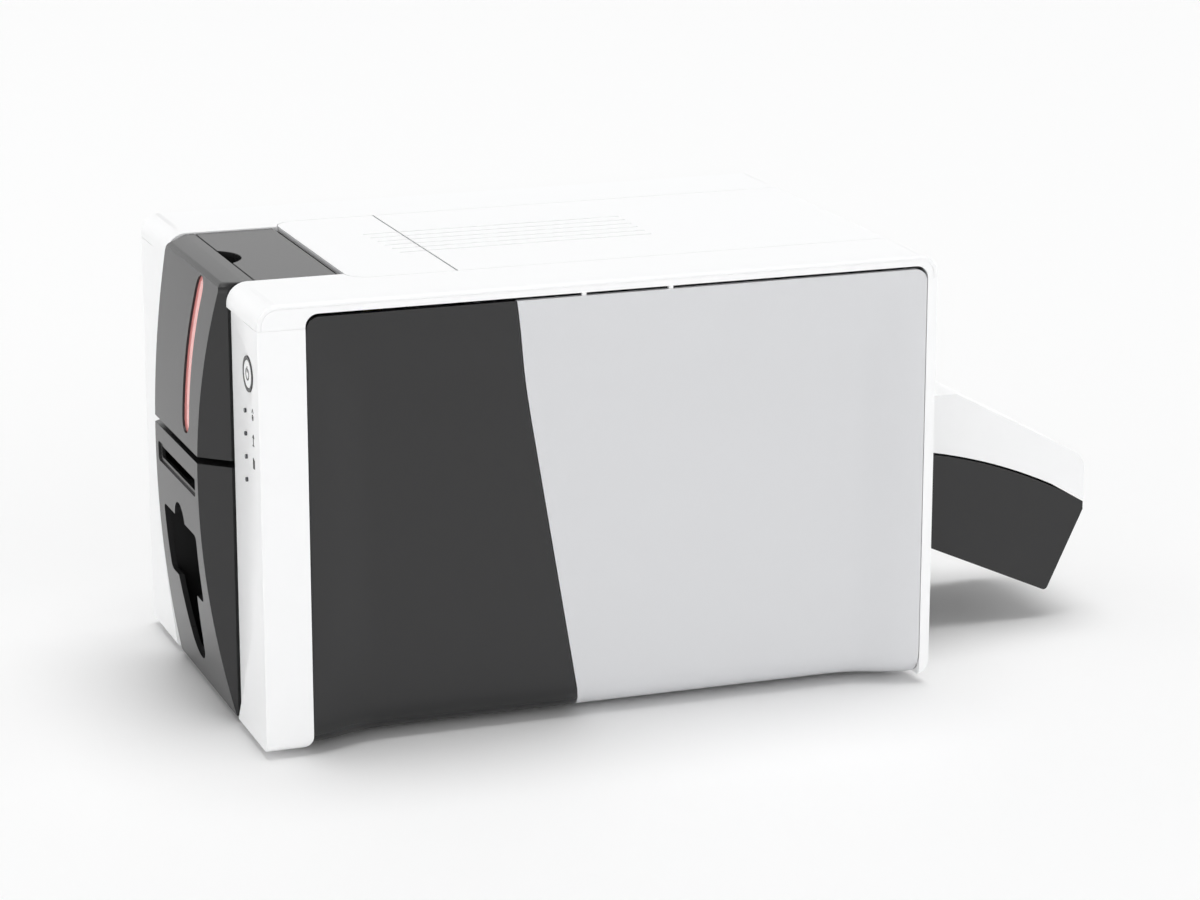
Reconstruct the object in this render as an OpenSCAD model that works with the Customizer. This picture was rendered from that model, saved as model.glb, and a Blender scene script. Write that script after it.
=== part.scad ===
// Desktop card printer: moulded casing, opening front cover with the print
// head and ribbon, roller drive between two steel plates, card feeder behind.
// X is the width, Y runs from front to back, Z is up. Sizes are millimetres.

/* [Casing] */
// Width over the side frames
body_w = 205; // [200:1:215]
// Height of the top above the desk
body_h = 195; // [193:1:205]
// Depth of the side frames
frame_d = 304; // [302:1:312]
// Wall thickness of the moulded covers
wall = 2.5; // [2:0.1:3]
// Gap between neighbouring covers
seam = 0.4; // [0.3:0.05:0.6]
// Height of the rubber feet
foot_h = 3; // [2:0.5:5]
// Radius of a rubber foot
foot_r = 7; // [5:0.5:9]

/* [Side frames] */
// Width of the front post, seen from the side
post_w = 20.5; // [18:0.5:24]
// Height of the top rail, seen from the side
rail_h = 4.6; // [4:0.1:8]
// Width of the rear post, seen from the side
rear_post_w = 4.5; // [4:0.5:8]
// Rounding of the front top corner
frame_front_r = 9; // [6:1:12]
// Rounding of the rear top corner
frame_rear_r = 9; // [6:1:14]
// Rounding along the lower edge of the side frames
frame_skirt_r = 4.5; // [3:0.5:6]
// Height of the fine seam round the front posts
post_seam_z = 184.5; // [180:0.5:186]

/* [Side panels] */
// How far the middle of a side panel lies in
dish_depth = 8.5; // [5:0.5:10]
// Width of the slope round the dish
dish_slope = 28; // [20:1:36]
// Flat rim between the frame and the slope
dish_rim = 3; // [2:0.5:6]
// Rounding along the lower edge of the side panels
skirt_r = 12; // [8:1:16]
// Gap between the side panels and the top rail
panel_gap = 1.4; // [0.4:0.1:2]
// Where the two-colour seam meets the top, from the front
panel_seam_top = 111.5; // [90:0.5:130]
// Where the two-colour seam meets the bottom, from the front
panel_seam_foot = 142.5; // [120:0.5:160]

/* [Front] */
// Width of the dark centre of the front
centre_w = 105.8; // [104:0.2:110]
// How far the curved front stands ahead of the posts
front_bulge = 11; // [9:0.5:14]
// Radius of the curved front above its foremost line, seen from the side
bulge_top_r = 395; // [380:5:420]
// Radius of the curved front below its foremost line
bulge_low_r = 460; // [440:5:500]
// Height of the foremost line of the curved front
bulge_z = 106; // [100:1:110]
// Height of the upper edge of the lower front panel
jaw_z = 114; // [112:0.5:116]
// Gap between the lower front panel and the cover
jaw_gap = 3; // [2:0.5:4]
// Underside of a card on its way through
card_z = 102; // [101:0.5:103]
// Width of the card slot
slot_w = 61; // [58:0.5:64]
// Height of the card slot
slot_h = 5; // [4.8:0.1:6]
// Half width of the light strip
strip_half_w = 5.7; // [4.5:0.1:6.5]
// How far the light strip lies in
strip_sunk = 1; // [0.5:0.1:1.4]

/* [Output bin] */
// Height of the floor of the bin
bin_floor_z = 14; // [12:0.5:16]
// Depth of the bin behind the posts
bin_d = 92; // [90:1:96]

/* [Cover] */
// Where the white lid starts, from the front
lid_y = 51.5; // [48:0.5:53]
// Width of the white lids
lid_w = 125.7; // [122:0.1:128]
// Seam between front lid and rear lid, from the front
lid_seam_y = 98; // [96:1:100]
// How far the hinge lies below the top
hinge_drop = 8; // [7.5:0.5:9]
// Radius of the rolling edge at the lid seam
seam_r = 17; // [16.5:0.5:18]
// Radius of the hinge pins
hinge_pin_r = 2.5; // [2:0.1:3]
// Seam between the front cap and the top plate
cap_d = 12.6; // [11:0.2:14]
// Gap between the top plate and the lid
lid_front_gap = 2.8; // [0.4:0.2:3.4]
// Pitch of the grooves in the lids
groove_pitch = 8.4; // [7:0.1:10]

/* [Rollers] */
// Radius of the drive rollers
roller_r = 6; // [5.6:0.1:6.4]
// Length of the rubber on a roller
roller_w = 54; // [48:1:56]
// Radius of the drive shafts
shaft_r = 3; // [2.5:0.1:3.5]
// Radius of the pinch and cleaning rollers
pinch_r = 5; // [4:0.1:5.4]
// Radius of their shafts
pinch_shaft_r = 2; // [1.5:0.1:2.5]
// Front feed roller, from the front
front_feed_y = 27; // [26:0.5:30]
// Platen roller, from the front
platen_y = 62; // [60:0.5:64]
// Rear feed roller, from the front
rear_feed_y = 112; // [108:1:116]
// Cleaning roller, from the front
cleaning_y = 150; // [140:1:180]
// Radius of the belt pulleys
pulley_r = 7; // [6:0.5:8]

/* [Chassis] */
// Distance between the steel side plates
chassis_w = 132; // [131:0.5:134]
// Thickness of a side plate
plate_t = 1.5; // [1:0.1:2]

/* [Ribbon] */
// Radius of the ribbon left on the supply spool
supply_r = 15; // [11:0.5:15.5]
// Radius of the ribbon on the take-up spool
take_up_r = 9; // [8:0.5:12]
// Width of the ribbon
ribbon_w = 58; // [50:1:60]

/* [Feeder] */
// Width of the feeder
feeder_w = 70; // [66:1:74]
// How far the feeder stands behind the frames
feeder_d = 110; // [104:1:114]
// Slope of the feeder floor, in degrees
feeder_tilt = 24; // [22:0.5:25]
// Height of the top of the feeder cover
feeder_top = 113; // [112:0.5:115]

/* [Hidden] */
$fn = 64;

dark = "#47484a";
white = "#f2f3f4";
light_grey = "#d2d3d5";
steel = "#aab0b5";
rubber = "#2b2b2d";

half_w = body_w / 2;
top_z = body_h;
eps = 0.01;
slack = 0.06;                     // radial clearance of a running fit
air = 0.3;                        // clearance between moving neighbours
centre_x = centre_w / 2;
frame_x = centre_x + air;         // inner edge of the front posts
lid_x = lid_w / 2;
lid_corner_r = lid_x - centre_x;  // the lid's front corners fill the step
plate_x = chassis_w / 2;
chamber_x = plate_x + plate_t;    // outer face of a side plate
y_mid = (frame_d + feeder_d - front_bulge) / 2;

// the feeder hangs behind the rear wall
feeder_y = frame_d + 0.6;
feeder_end = frame_d + feeder_d;
feeder_x = feeder_w / 2;
feeder_rim_r = 250;               // arc between hopper and cover
feeder_rim = [frame_d - 17, -160];

// hinge of the front cover
hinge = [lid_seam_y - sqrt(seam_r * seam_r - hinge_drop * hinge_drop), top_z - hinge_drop];

// ---------- outlines and directions ----------

// rectangle from a to b, r holds the corner radii: low-low, high-low, high-high, low-high
module round_rect(a, b, r) {
    w = b[0] - a[0];
    h = b[1] - a[1];
    difference() {
        translate(a) square([w, h]);
        for (i = [0:3]) if (r[i] > 0) {
            right = i == 1 || i == 2;
            upper = i > 1;
            translate([right ? b[0] : a[0], upper ? b[1] : a[1]])
                mirror([right ? 1 : 0, 0]) mirror([0, upper ? 1 : 0]) difference() {
                    translate([-1, -1]) square(r[i] + 1);
                    translate([r[i], r[i]]) circle(r[i]);
                }
        }
    }
}

// outline in Y and Z, drawn out along X
module along_x(x0, x1)
    translate([x0, 0, 0]) rotate([90, 0, 90]) linear_extrude(x1 - x0) children();

// outline in X and Z, drawn out along Y
module along_y(y0, y1)
    translate([0, y1, 0]) rotate([90, 0, 0]) linear_extrude(y1 - y0) children();

// outline in X and Y, drawn out along Z
module along_z(z0, z1)
    translate([0, 0, z0]) linear_extrude(z1 - z0) children();

// round bar along X at a place in Y and Z
module rod(at, r, x0, x1)
    translate([x0, at[0], at[1]]) rotate([0, 90, 0]) cylinder(r = r, h = x1 - x0);

module block(a, b) translate(a) cube(b - a);

module both_sides() {
    children();
    mirror([1, 0, 0]) children();
}

// the whole part stands with the middle of its footprint at the origin
module stand() translate([0, -y_mid, 0]) children();

// gear outline with straight-sided teeth; a tooth points along +X before turning
gear_m = 1;
function gear_r(teeth) = gear_m * teeth / 2;
module gear(teeth, turn) {
    step = 360 / teeth;
    tip = gear_r(teeth) + 0.8 * gear_m;
    root = gear_r(teeth) - 1.1 * gear_m;
    polygon([for (i = [0:teeth - 1], k = [[-0.26, root], [-0.11, tip], [0.11, tip], [0.26, root]])
        let (a = turn + (i + k[0]) * step) k[1] * [cos(a), sin(a)]]);
}

// closed belt round two equal pulleys, in Y and Z
module belt(p, q, r, t) {
    d = q - p;
    translate(p) rotate(atan2(d[1], d[0])) difference() {
        stadium(norm(d), r + t);
        stadium(norm(d), r);
    }
}

module stadium(l, r) {
    circle(r);
    translate([l, 0]) circle(r);
    translate([0, -r]) square([l, 2 * r]);
}

// ---------- casing ----------

// side view of the whole casing, set in by inset
module casing_side(inset) {
    z0 = foot_h + inset;
    round_rect([inset, z0], [frame_d - inset, top_z - inset],
        [max(1 - inset, 0), 8 - inset, frame_rear_r - inset, frame_front_r - inset]);
}

// front view of the whole casing, set in by inset
module casing_front(inset) {
    edge_r = max(1.5 - inset, 0.3);
    round_rect([-half_w + inset, foot_h + inset], [half_w - inset, top_z - inset],
        [frame_skirt_r - inset, frame_skirt_r - inset, edge_r, edge_r]);
}

panel_top = top_z - rail_h;
panel_corner_r = 5.5;
post_heel_r = 6;

// window of a side frame in side view, which the side panels fill
module panel_window(inset) {
    round_rect([post_w + inset, -10], [frame_d - rear_post_w - inset, panel_top - inset],
        [0, 0, panel_corner_r - inset, panel_corner_r - inset]);
}

button_at = [half_w - 15.8, top_z - 31.4];
button_r = 7.6;
light_x = half_w - 23.5;
light_z = [for (i = [0:3]) button_at[1] - 17.3 - 9.9 * i];
light_r = 1;

module front_cutouts(clear) {
    translate(button_at) circle(button_r + clear);
    for (z = light_z) translate([light_x, z]) circle(light_r);
}

// The inner part of a post's face leans back from a bowed line to the inner edge.
post_bow_r = 165;
post_bow_at = [half_w - 6, 118];  // the bow's outermost point
post_lean = 1.9;                  // how far back the inner edge lies

module post_bow() hull() {
    along_y(-1, 0) intersection() {
        translate(post_bow_at - [post_bow_r, 0]) circle(post_bow_r, $fn = 120);
        translate([frame_x, 0]) square([post_w * 3, post_seam_z]);
    }
    block([frame_x - 1, -1, 0], [frame_x, post_lean, post_seam_z]);
}

// fine grooves: one round the post, one along the outline above it
hair = 0.3;
outline_y = 1.6;
module hair_grooves() {
    along_z(post_seam_z - hair / 2, post_seam_z + hair / 2) difference() {
        translate([0, -1]) square([half_w + 1, post_w + 2]);
        translate([-1, hair]) square([half_w + 1 - hair, post_w + 2]);
    }
    along_x(half_w - hair, half_w + 1) intersection() {
        difference() {
            casing_side(outline_y);
            casing_side(outline_y + hair);
        }
        translate([0, post_seam_z]) square([frame_d, top_z]);
    }
}

module side_frame() {
    difference() {
        intersection() {
            along_x(frame_x, half_w) difference() {
                casing_side(0);
                panel_window(0);
            }
            along_y(-1, frame_d + 1) casing_front(0);
        }
        post_bow();
        hair_grooves();
        intersection() {
            along_x(frame_x + wall, half_w - wall) casing_side(wall);
            along_y(wall, frame_d - wall) casing_front(wall);
        }
        // step that the white lids lie in
        along_z(0, top_z + 1) round_rect([-lid_x - air, lid_y - air], [lid_x + air, frame_d + 1],
            [lid_corner_r, lid_corner_r, 0, 0]);
        // rounded heel of the front post
        along_x(0, half_w + 1) difference() {
            translate([post_w - post_heel_r, foot_h - 1]) square(post_heel_r + 1);
            translate([post_w - post_heel_r, foot_h + post_heel_r]) circle(post_heel_r);
            translate([post_w - post_heel_r - 1, foot_h + post_heel_r]) square(post_heel_r + 2);
        }
    }
}

module side_frame_right() color(white) difference() {
    side_frame();
    along_y(-1, wall + 1) front_cutouts(0.2);
}

module side_frame_left() color(white) mirror([1, 0, 0]) side_frame();

// front view of a side panel, as deep in the dish as recess says
module panel_section(recess, inset) {
    x1 = half_w - recess - inset;
    r = skirt_r - inset;
    round_rect([x1 - 22, foot_h + inset], [x1, top_z], [0, r, 0, 0]);
}

// the dished body that both panels of one side are cut from
module panel_form(inset) {
    y0 = post_w + dish_rim;
    y1 = frame_d - rear_post_w - dish_rim;
    slice = 0.1;
    along_y(0, frame_d) panel_section(dish_depth, inset);
    hull() {
        along_y(y0 - dish_rim - 1, y0) panel_section(0, inset, $fn = 32);
        along_y(y0 + dish_slope, y0 + dish_slope + slice) panel_section(dish_depth, inset, $fn = 32);
    }
    hull() {
        along_y(y1, y1 + dish_rim + 1) panel_section(0, inset, $fn = 32);
        along_y(y1 - dish_slope - slice, y1 - dish_slope) panel_section(dish_depth, inset, $fn = 32);
    }
    rim_z = panel_top - panel_gap - dish_rim;
    rim_x = half_w - inset;
    along_y(0, frame_d) polygon([[rim_x - dish_depth - 4, rim_z - dish_slope],
        [rim_x - dish_depth, rim_z - dish_slope], [rim_x, rim_z], [rim_x, top_z],
        [rim_x - dish_depth - 4, top_z]]);
}

module side_panel() {
    intersection() {
        difference() {
            panel_form(0);
            panel_form(wall);
            // the inner wall runs straight in below the flange
            block([0, -1, 0], [half_w - dish_depth - skirt_r - 4, frame_d + 1, top_z]);
        }
        along_x(0, half_w) panel_window(seam);
        along_x(0, half_w) round_rect([post_w + seam, foot_h],
            [frame_d - rear_post_w - seam, panel_top - panel_gap], [0, 5, panel_corner_r, panel_corner_r]);
    }
}

// side view of the part of a panel before the two-colour seam
module before_seam(shift)
    polygon([[0, -1], [panel_seam_foot + shift, -1], [panel_seam_top + shift, panel_top], [0, panel_top]]);

module side_panel_front() color(dark) intersection() {
    side_panel();
    along_x(0, half_w + 1) before_seam(-seam / 2);
}

module side_panel_rear() color(light_grey) difference() {
    side_panel();
    along_x(0, half_w + 1) before_seam(seam / 2);
}

module side_panel_front_right() side_panel_front();
module side_panel_rear_right() side_panel_rear();
module side_panel_front_left() mirror([1, 0, 0]) side_panel_front();
module side_panel_rear_left() mirror([1, 0, 0]) side_panel_rear();

foot_x = 66;
foot_y = [30, frame_d - 24];
tray_x = half_w - dish_depth - skirt_r - 5;
tray_lip = 8;
tray_post_x = frame_x - 1;

module tray_plan(inset) {
    translate([-tray_x + inset, post_w + 1 + inset])
        square([2 * (tray_x - inset), frame_d - rear_post_w - post_w - 1.5 - 2 * inset]);
    translate([-tray_post_x + inset, panel_back + seam + inset])
        square([2 * (tray_post_x - inset), post_w - panel_back + 2]);
}

module base_tray() color(dark) {
    difference() {
        along_z(foot_h, foot_h + tray_lip) tray_plan(0);
        along_z(foot_h + wall, foot_h + tray_lip + 1) tray_plan(wall);
        // air slots in the floor
        for (x = [-6:6], y = [0:2])
            translate([x * 8, 190 + y * 30, foot_h - 1]) linear_extrude(wall + 2)
                round_rect([-1.5, 0], [1.5, 22], [1.5, 1.5, 1.5, 1.5]);
    }
}

module feet() color(rubber) for (x = [-foot_x, foot_x], y = foot_y) translate([x, y, 0]) difference() {
    union() {
        cylinder(r1 = foot_r - 0.6, r2 = foot_r, h = 0.6);
        translate([0, 0, 0.6]) cylinder(r = foot_r, h = foot_h - 0.6);
    }
    translate([0, 0, -1]) cylinder(r = foot_r / 3, h = 1.8);
}

// ---------- front ----------

facet_a = 43.7;                   // the side facets, measured from the Y axis
facet_x0 = centre_x - 3.9;        // where they cross the plane of the posts
shadow_gap = [2.7, 5];            // width and depth of the groove beside the posts
function facet_x(y, inset) = facet_x0 - inset / cos(facet_a) + y * tan(facet_a);

// plan of the dark centre, with its two slanted facets
module front_plan(inset, y_back) {
    c = centre_x - inset;
    side = c - shadow_gap[0];
    y_step = shadow_gap[1] + inset;
    y_corner = (side - facet_x0 + inset / cos(facet_a)) / tan(facet_a);
    y_nose = -front_bulge - 1;
    nose = facet_x(y_nose, inset);
    polygon([[-c, y_back], [-c, y_step], [-side, y_step], [-side, y_corner], [-nose, y_nose],
        [nose, y_nose], [side, y_corner], [side, y_step], [c, y_step], [c, y_back]]);
}

// two arcs that meet at the foremost line
module bulge_side(inset) for (s = [[bulge_low_r, bulge_z - top_z], [bulge_top_r, bulge_z]]) intersection() {
    translate([s[0] - front_bulge + inset, bulge_z]) circle(s[0], $fn = 200);
    translate([-front_bulge - 1, s[1]]) square([lid_y + 20, top_z]);
}

module front_core(z0, z1, inset, y_back) intersection() {
    along_z(z0, z1) front_plan(inset, y_back);
    along_x(-centre_x, centre_x) bulge_side(inset);
}

// front view of the opening of the output bin
bin_mouth_w = 58;
bin_mouth_z = [48.5, 79];
grip_r = 9;
module bin_mouth() {
    w = bin_mouth_w / 2;
    round_rect([-w, bin_mouth_z[0]], [w, bin_mouth_z[1]], [3, 3, 3, 3]);
    translate([0, bin_mouth_z[1] - 1.5]) circle(grip_r);
    // finger cut below
    intersection() {
        polygon([[-17, bin_mouth_z[0] + 1], [-11, bin_floor_z + 8], [-11, bin_floor_z + 0.5],
            [11, bin_floor_z + 0.5], [11, bin_floor_z + 8], [17, bin_mouth_z[0] + 1]]);
        union() {
            translate([0, bin_floor_z + 11.5]) circle(11);
            translate([-20, bin_floor_z + 11.5]) square([40, 40]);
        }
    }
}

panel_back = post_w - 4;

module lower_front_panel() color(dark) difference() {
    front_core(foot_h, jaw_z, 0, panel_back);
    front_core(foot_h + wall, jaw_z - wall, wall, panel_back + 1);
    slot_mid = card_z + 0.1;
    along_y(-front_bulge - 2, 0) round_rect([-slot_w / 2, slot_mid - slot_h / 2],
        [slot_w / 2, slot_mid + slot_h / 2], [1, 1, 1, 1]);
    along_y(-front_bulge - 2, -front_bulge + 1) round_rect([-slot_w / 2 - 3, slot_mid - slot_h / 2 - 2],
        [slot_w / 2 + 3, slot_mid + slot_h / 2 + 2], [2, 2, 2, 2]);
    along_y(-front_bulge - 2, 0) bin_mouth();
}

bin_x = 31;
bin_wall = 1.5;
bin_top = 88.5;
module output_bin() color(dark) difference() {
    block([-bin_x, -front_bulge, bin_floor_z - bin_wall], [bin_x, bin_d, bin_top]);
    block([-bin_x + bin_wall, -front_bulge - 1, bin_floor_z], [bin_x - bin_wall, bin_d - bin_wall, bin_top + 1]);
    // its mouth follows the inside of the curved front
    along_x(-bin_x - 1, bin_x + 1) difference() {
        translate([-front_bulge - 1, 0]) square([front_bulge + 4, top_z]);
        bulge_side(wall + 0.1);
    }
}

cap_z = jaw_z + jaw_gap;
cap_back = lid_y - 2;
cap_seam = 0.7;
plate_top = top_z - 0.5;
plate_low = plate_top - wall;
cap_bend_y = 8;                   // the cap's top falls towards the front from here
cap_fall = 0.137;                 // slope of that part
cap_edge_r = 3;                   // rounding between top and front
cap_facet_r = 5;                  // rounding between top and facets
function cap_top(y) = plate_top - cap_fall * (cap_bend_y - y);

// the sloping top of the cap and the space above the top plate
module cap_side(inset)
    polygon([[-20, cap_z - 1], [cap_back + 1, cap_z - 1], [cap_back + 1, plate_low], [cap_d - inset, plate_low],
        [cap_d - inset, plate_top - inset], [cap_bend_y, plate_top - inset], [-20, cap_top(-20) - inset]]);

// centre of the rounding that touches both the top's slope and the curved front
bulge_at = [bulge_top_r - front_bulge, bulge_z];
cap_edge_at = let (k = sqrt(1 + cap_fall * cap_fall), low = cap_top(0) - cap_edge_r * k,
    c = low - bulge_at[1], b = cap_fall * c - bulge_at[0], reach = bulge_top_r - cap_edge_r,
    y = (-b - sqrt(b * b - k * k * (bulge_at[0] * bulge_at[0] + c * c - reach * reach))) / (k * k))
    [y, low + cap_fall * y];

// what the rounding takes off the edge between top and front
module cap_edge() {
    on_top = cap_edge_at + cap_edge_r * [-cap_fall, 1] / norm([cap_fall, 1]);
    out = cap_edge_at - bulge_at;
    on_front = bulge_at + out * bulge_top_r / norm(out);
    difference() {
        polygon([cap_edge_at, on_top, on_top + on_front - cap_edge_at, on_front]);
        translate(cap_edge_at) circle(cap_edge_r + eps);
    }
}

// the same between top and facet; the cylinder follows the slope of the top
module cap_facet_edge()
    translate([facet_x0, 0, cap_top(cap_facet_r * sin(facet_a)) - cap_facet_r])
        rotate([0, 0, -facet_a]) rotate([atan(cap_fall * cos(facet_a)), 0, 0]) difference() {
            block([-cap_facet_r, -25, 0], [3, 25, cap_facet_r + 3]);
            translate([2 * eps - cap_facet_r, -26, 0]) rotate([-90, 0, 0]) cylinder(r = cap_facet_r, h = 52);
        }

strip_r = 231;
strip_x = 16;
strip_z = [122.5, 190.9];
strip_mid_z = 155;
strip_depth = [-front_bulge - 2, 3];

// bowed band with round ends, in front view
module strip_outline(grow) {
    r = strip_half_w + grow;
    reach = strip_z - [1, 1] * strip_mid_z + [1, -1] * strip_half_w;
    translate([strip_x + strip_r, strip_mid_z]) {
        intersection() {
            difference() {
                circle(strip_r + r, $fn = 200);
                circle(strip_r - r, $fn = 200);
            }
            translate([-strip_r - 20, reach[0]]) square([40, reach[1] - reach[0]]);
        }
        for (z = reach) translate([-sqrt(strip_r * strip_r - z * z), z]) circle(r);
    }
}

module front_cap() color(dark) difference() {
    intersection() {
        front_core(cap_z, top_z, 0, cap_back);
        along_x(-centre_x, centre_x) cap_side(0);
    }
    intersection() {
        front_core(cap_z - 1, top_z, wall, cap_back + 1);
        along_x(-centre_x, centre_x) cap_side(wall);
    }
    // nothing covers the top plate's place
    block([-centre_x + wall, cap_d, plate_low - wall], [centre_x - wall, cap_back + 1, top_z]);
    along_y(strip_depth[0], strip_depth[1]) strip_outline(0.15);
    along_x(-centre_x, centre_x) cap_edge();
    both_sides() cap_facet_edge();
}

module light_strip() color("#e0707a") intersection() {
    difference() {
        front_core(cap_z, plate_top - 1, strip_sunk, cap_d);
        front_core(cap_z - 1, plate_top, wall, cap_d + 1);
    }
    along_y(strip_depth[0], strip_depth[1]) strip_outline(0);
}

grip_hole_r = 16;
grip_shift = 8.5;
grip_y = cap_d - grip_shift;
module top_plate() color(dark) difference() {
    block([-centre_x, cap_d + cap_seam, plate_low], [centre_x, lid_y - lid_front_gap, plate_top]);
    translate([0, grip_y, plate_low - 1]) cylinder(r = grip_hole_r, h = wall + 2);
}

groove_w = 1.2;
groove_depth = 0.8;
groove_y = [82, 203];
module grooves() for (i = [-2.75:2.25]) {
    x = i * groove_pitch;
    block([x - groove_w / 2, groove_y[0] + (i + 3) * 0.8, top_z - groove_depth], [x + groove_w / 2, groove_y[1], top_z + 1]);
}

module front_lid() color(white) difference() {
    along_z(top_z - wall, top_z) round_rect([-lid_x, lid_y], [lid_x, hinge[0] + seam_r + 1],
        [lid_corner_r, lid_corner_r, 0, 0]);
    along_x(-lid_x - 1, lid_x + 1) difference() {
        translate([hinge[0], hinge[1]]) square([40, 40]);
        translate(hinge) circle(seam_r);
    }
    grooves();
}

lid_gap = 0.8;
lid_back_z = feeder_top + 2.4;
lid_skirt = 5;

module rear_lid() color(white) difference() {
    intersection() {
        along_x(-lid_x, lid_x) difference() {
            casing_side(0);
            translate(hinge) circle(seam_r + lid_gap);
        }
        block([-lid_x, hinge[0] + 8, lid_back_z], [lid_x, frame_d + 1, top_z + 1]);
    }
    along_x(-lid_x + wall, lid_x - wall) casing_side(wall);
    // the skirt stays clear of the chassis
    block([-lid_x - 1, hinge[0], 0], [lid_x + 1, frame_d - wall, top_z - wall - lid_skirt]);
    block([-lid_x - 1, hinge[0], 0], [lid_x + 1, hinge[0] + seam_r + 4, top_z - wall]);
    grooves();
}

// ---------- cover ----------

cheek_x = centre_x - wall;        // outer face of the cover's cheeks
cheek_t = 2.5;
arm_x = [56, 60];
arm_r = 5;
cheek_end = 94;                   // rear edge of the cheeks
roof_z = plate_low;               // the roof carries the top plate
bridge_y = [54, 68];
bridge_z = 150;
ribbon_gear_teeth = 36;
ribbon_pinion_teeth = 14;
can_r = 9;
can_gap = 6;                      // between the ribbon motor and the roof
ribbon_pinion_at = [28, roof_z - can_gap - can_r];
take_up = ribbon_pinion_at - [0, gear_r(ribbon_gear_teeth) + gear_r(ribbon_pinion_teeth)];
supply = [84, 146];
can_x = [4, 34];
cassette_x = [34.5, 36.5];
guide_y = [42, 76];
guide_z = 112.5;
guide_r = 1.5;

module cover_chassis() color(dark) difference() {
    union() {
        both_sides() {
            // cheek
            along_x(cheek_x - cheek_t, cheek_x) polygon([[cap_d + 1, cap_z + 3], [30, cap_z + 3],
                [44, 112], [74, 112], [88, 124], [cheek_end, 140], [cheek_end, roof_z - 1], [cap_d + 1, roof_z - 1]]);
            // ledge that the cassette hangs on
            block([cassette_x[1], 46, 112], [cheek_x - eps, 72, 116]);
            // hinge arm
            along_x(arm_x[0], arm_x[1]) {
                translate(hinge) circle(arm_r);
                translate([hinge[0] - arm_r, hinge[1]]) square([2 * arm_r, top_z - wall - hinge[1]]);
            }
        }
        block([-cheek_x, cap_d + cap_seam, roof_z - wall], [cheek_x, lid_y + 4, roof_z]);
        block([-arm_x[1], lid_y + 2, roof_z - wall + 1], [arm_x[1], cheek_end, top_z - wall]);
        // bridge over the print head
        block([-cheek_x + eps, bridge_y[0], bridge_z], [cheek_x - eps, bridge_y[1], bridge_z + 5]);
        block([-cheek_x + eps, bridge_y[0], bridge_z], [cheek_x - eps, bridge_y[0] + 3, roof_z - 1]);
        // tab for the ribbon motor
        block([can_x[1], ribbon_pinion_at[0] - 11, ribbon_pinion_at[1] - 11],
            [can_x[1] + 2, ribbon_pinion_at[0] + 11, roof_z - 1]);
        // cup under the finger hole
        translate([0, grip_y, roof_z - 9]) intersection() {
            cylinder(r = grip_hole_r + 1.5, h = 8);
            block([-30, grip_shift + cap_seam, 0], [30, 30, 20]);
        }
    }
    translate([0, grip_y, roof_z - 7.5]) intersection() {
        cylinder(r = grip_hole_r, h = 20);
        block([-30, grip_shift + cap_seam + 1.5, 0], [30, 30, 20]);
    }
    translate([0, grip_y, roof_z - 2]) cylinder(r = grip_hole_r, h = 20);
    both_sides() rod(hinge, hinge_pin_r + slack, arm_x[0] - 1, arm_x[1] + 1);
    // lightening windows in the cheeks
    both_sides() along_x(cheek_x - cheek_t - 1, cheek_x + 1) {
        round_rect([18, 126], [46, roof_z - 24], [4, 4, 4, 4]);
        round_rect([60, 160], [86, roof_z - 12], [4, 4, 4, 4]);
    }
    rod(ribbon_pinion_at, 3, can_x[1] - 1, can_x[1] + 3);
    for (x = [-1, 1]) translate([x * spring_x, platen_y, bridge_z - 1]) cylinder(r = 1.5, h = 7);
}

module hinge_pins() color(steel) both_sides() {
    rod(hinge, hinge_pin_r, arm_x[0] - 0.5, chamber_x);
    rod(hinge, hinge_pin_r + 1.5, chamber_x, chamber_x + 1.5);
}

head_x = 31;
head_low = card_z + 1.3;
head_top = 118;
module print_head() color("#3a3d42") along_x(-head_x, head_x)
    polygon([[platen_y - 4, head_low], [platen_y + 4, head_low], [platen_y + 9, 110], [platen_y + 9, head_top],
        [platen_y - 9, head_top], [platen_y - 9, 110]]);

sink_top = 136;
fin_t = 1.2;
module head_heatsink() color(steel) {
    block([-head_x + 1, platen_y - 8, head_top], [head_x - 1, platen_y + 6, head_top + 3]);
    for (i = [-7:7]) block([i * 4 - fin_t / 2, platen_y - 8, head_top + 3 - eps], [i * 4 + fin_t / 2, platen_y + 6, sink_top - 1]);
    for (x = [-1, 1]) translate([x * spring_x, platen_y, head_top + 2]) cylinder(r = 5, h = sink_top - head_top - 2);
}

spring_x = 20;
spring_r = 3;
spring_turns = 4.5;

// round wire wound into a coil, standing at the origin
module coil(r, wire_r, h, turns) {
    steps = turns * 12;
    sides = 6;
    ring = [for (i = [0:steps], k = [0:sides - 1])
        let (a = i * 30, b = k * 360 / sides, d = r + wire_r * cos(b))
        [d * cos(a), d * sin(a), wire_r + i / steps * (h - 2 * wire_r) + wire_r * sin(b)]];
    side_faces = [for (i = [0:steps - 1], k = [0:sides - 1])
        let (n = (k + 1) % sides, j = i * sides)
        [j + k, j + n, j + sides + n, j + sides + k]];
    start = [for (k = [sides - 1:-1:0]) k];
    end = [for (k = [0:sides - 1]) steps * sides + k];
    polyhedron(ring, concat(side_faces, [start, end]));
}

module head_springs() color(steel) for (x = [-1, 1])
    translate([x * spring_x, platen_y, sink_top]) coil(spring_r, 0.5, bridge_z - sink_top, spring_turns);

module arm(p, q, w) translate(p) rotate(atan2((q - p)[1], (q - p)[0])) translate([0, -w / 2]) square([norm(q - p), w]);

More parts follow.
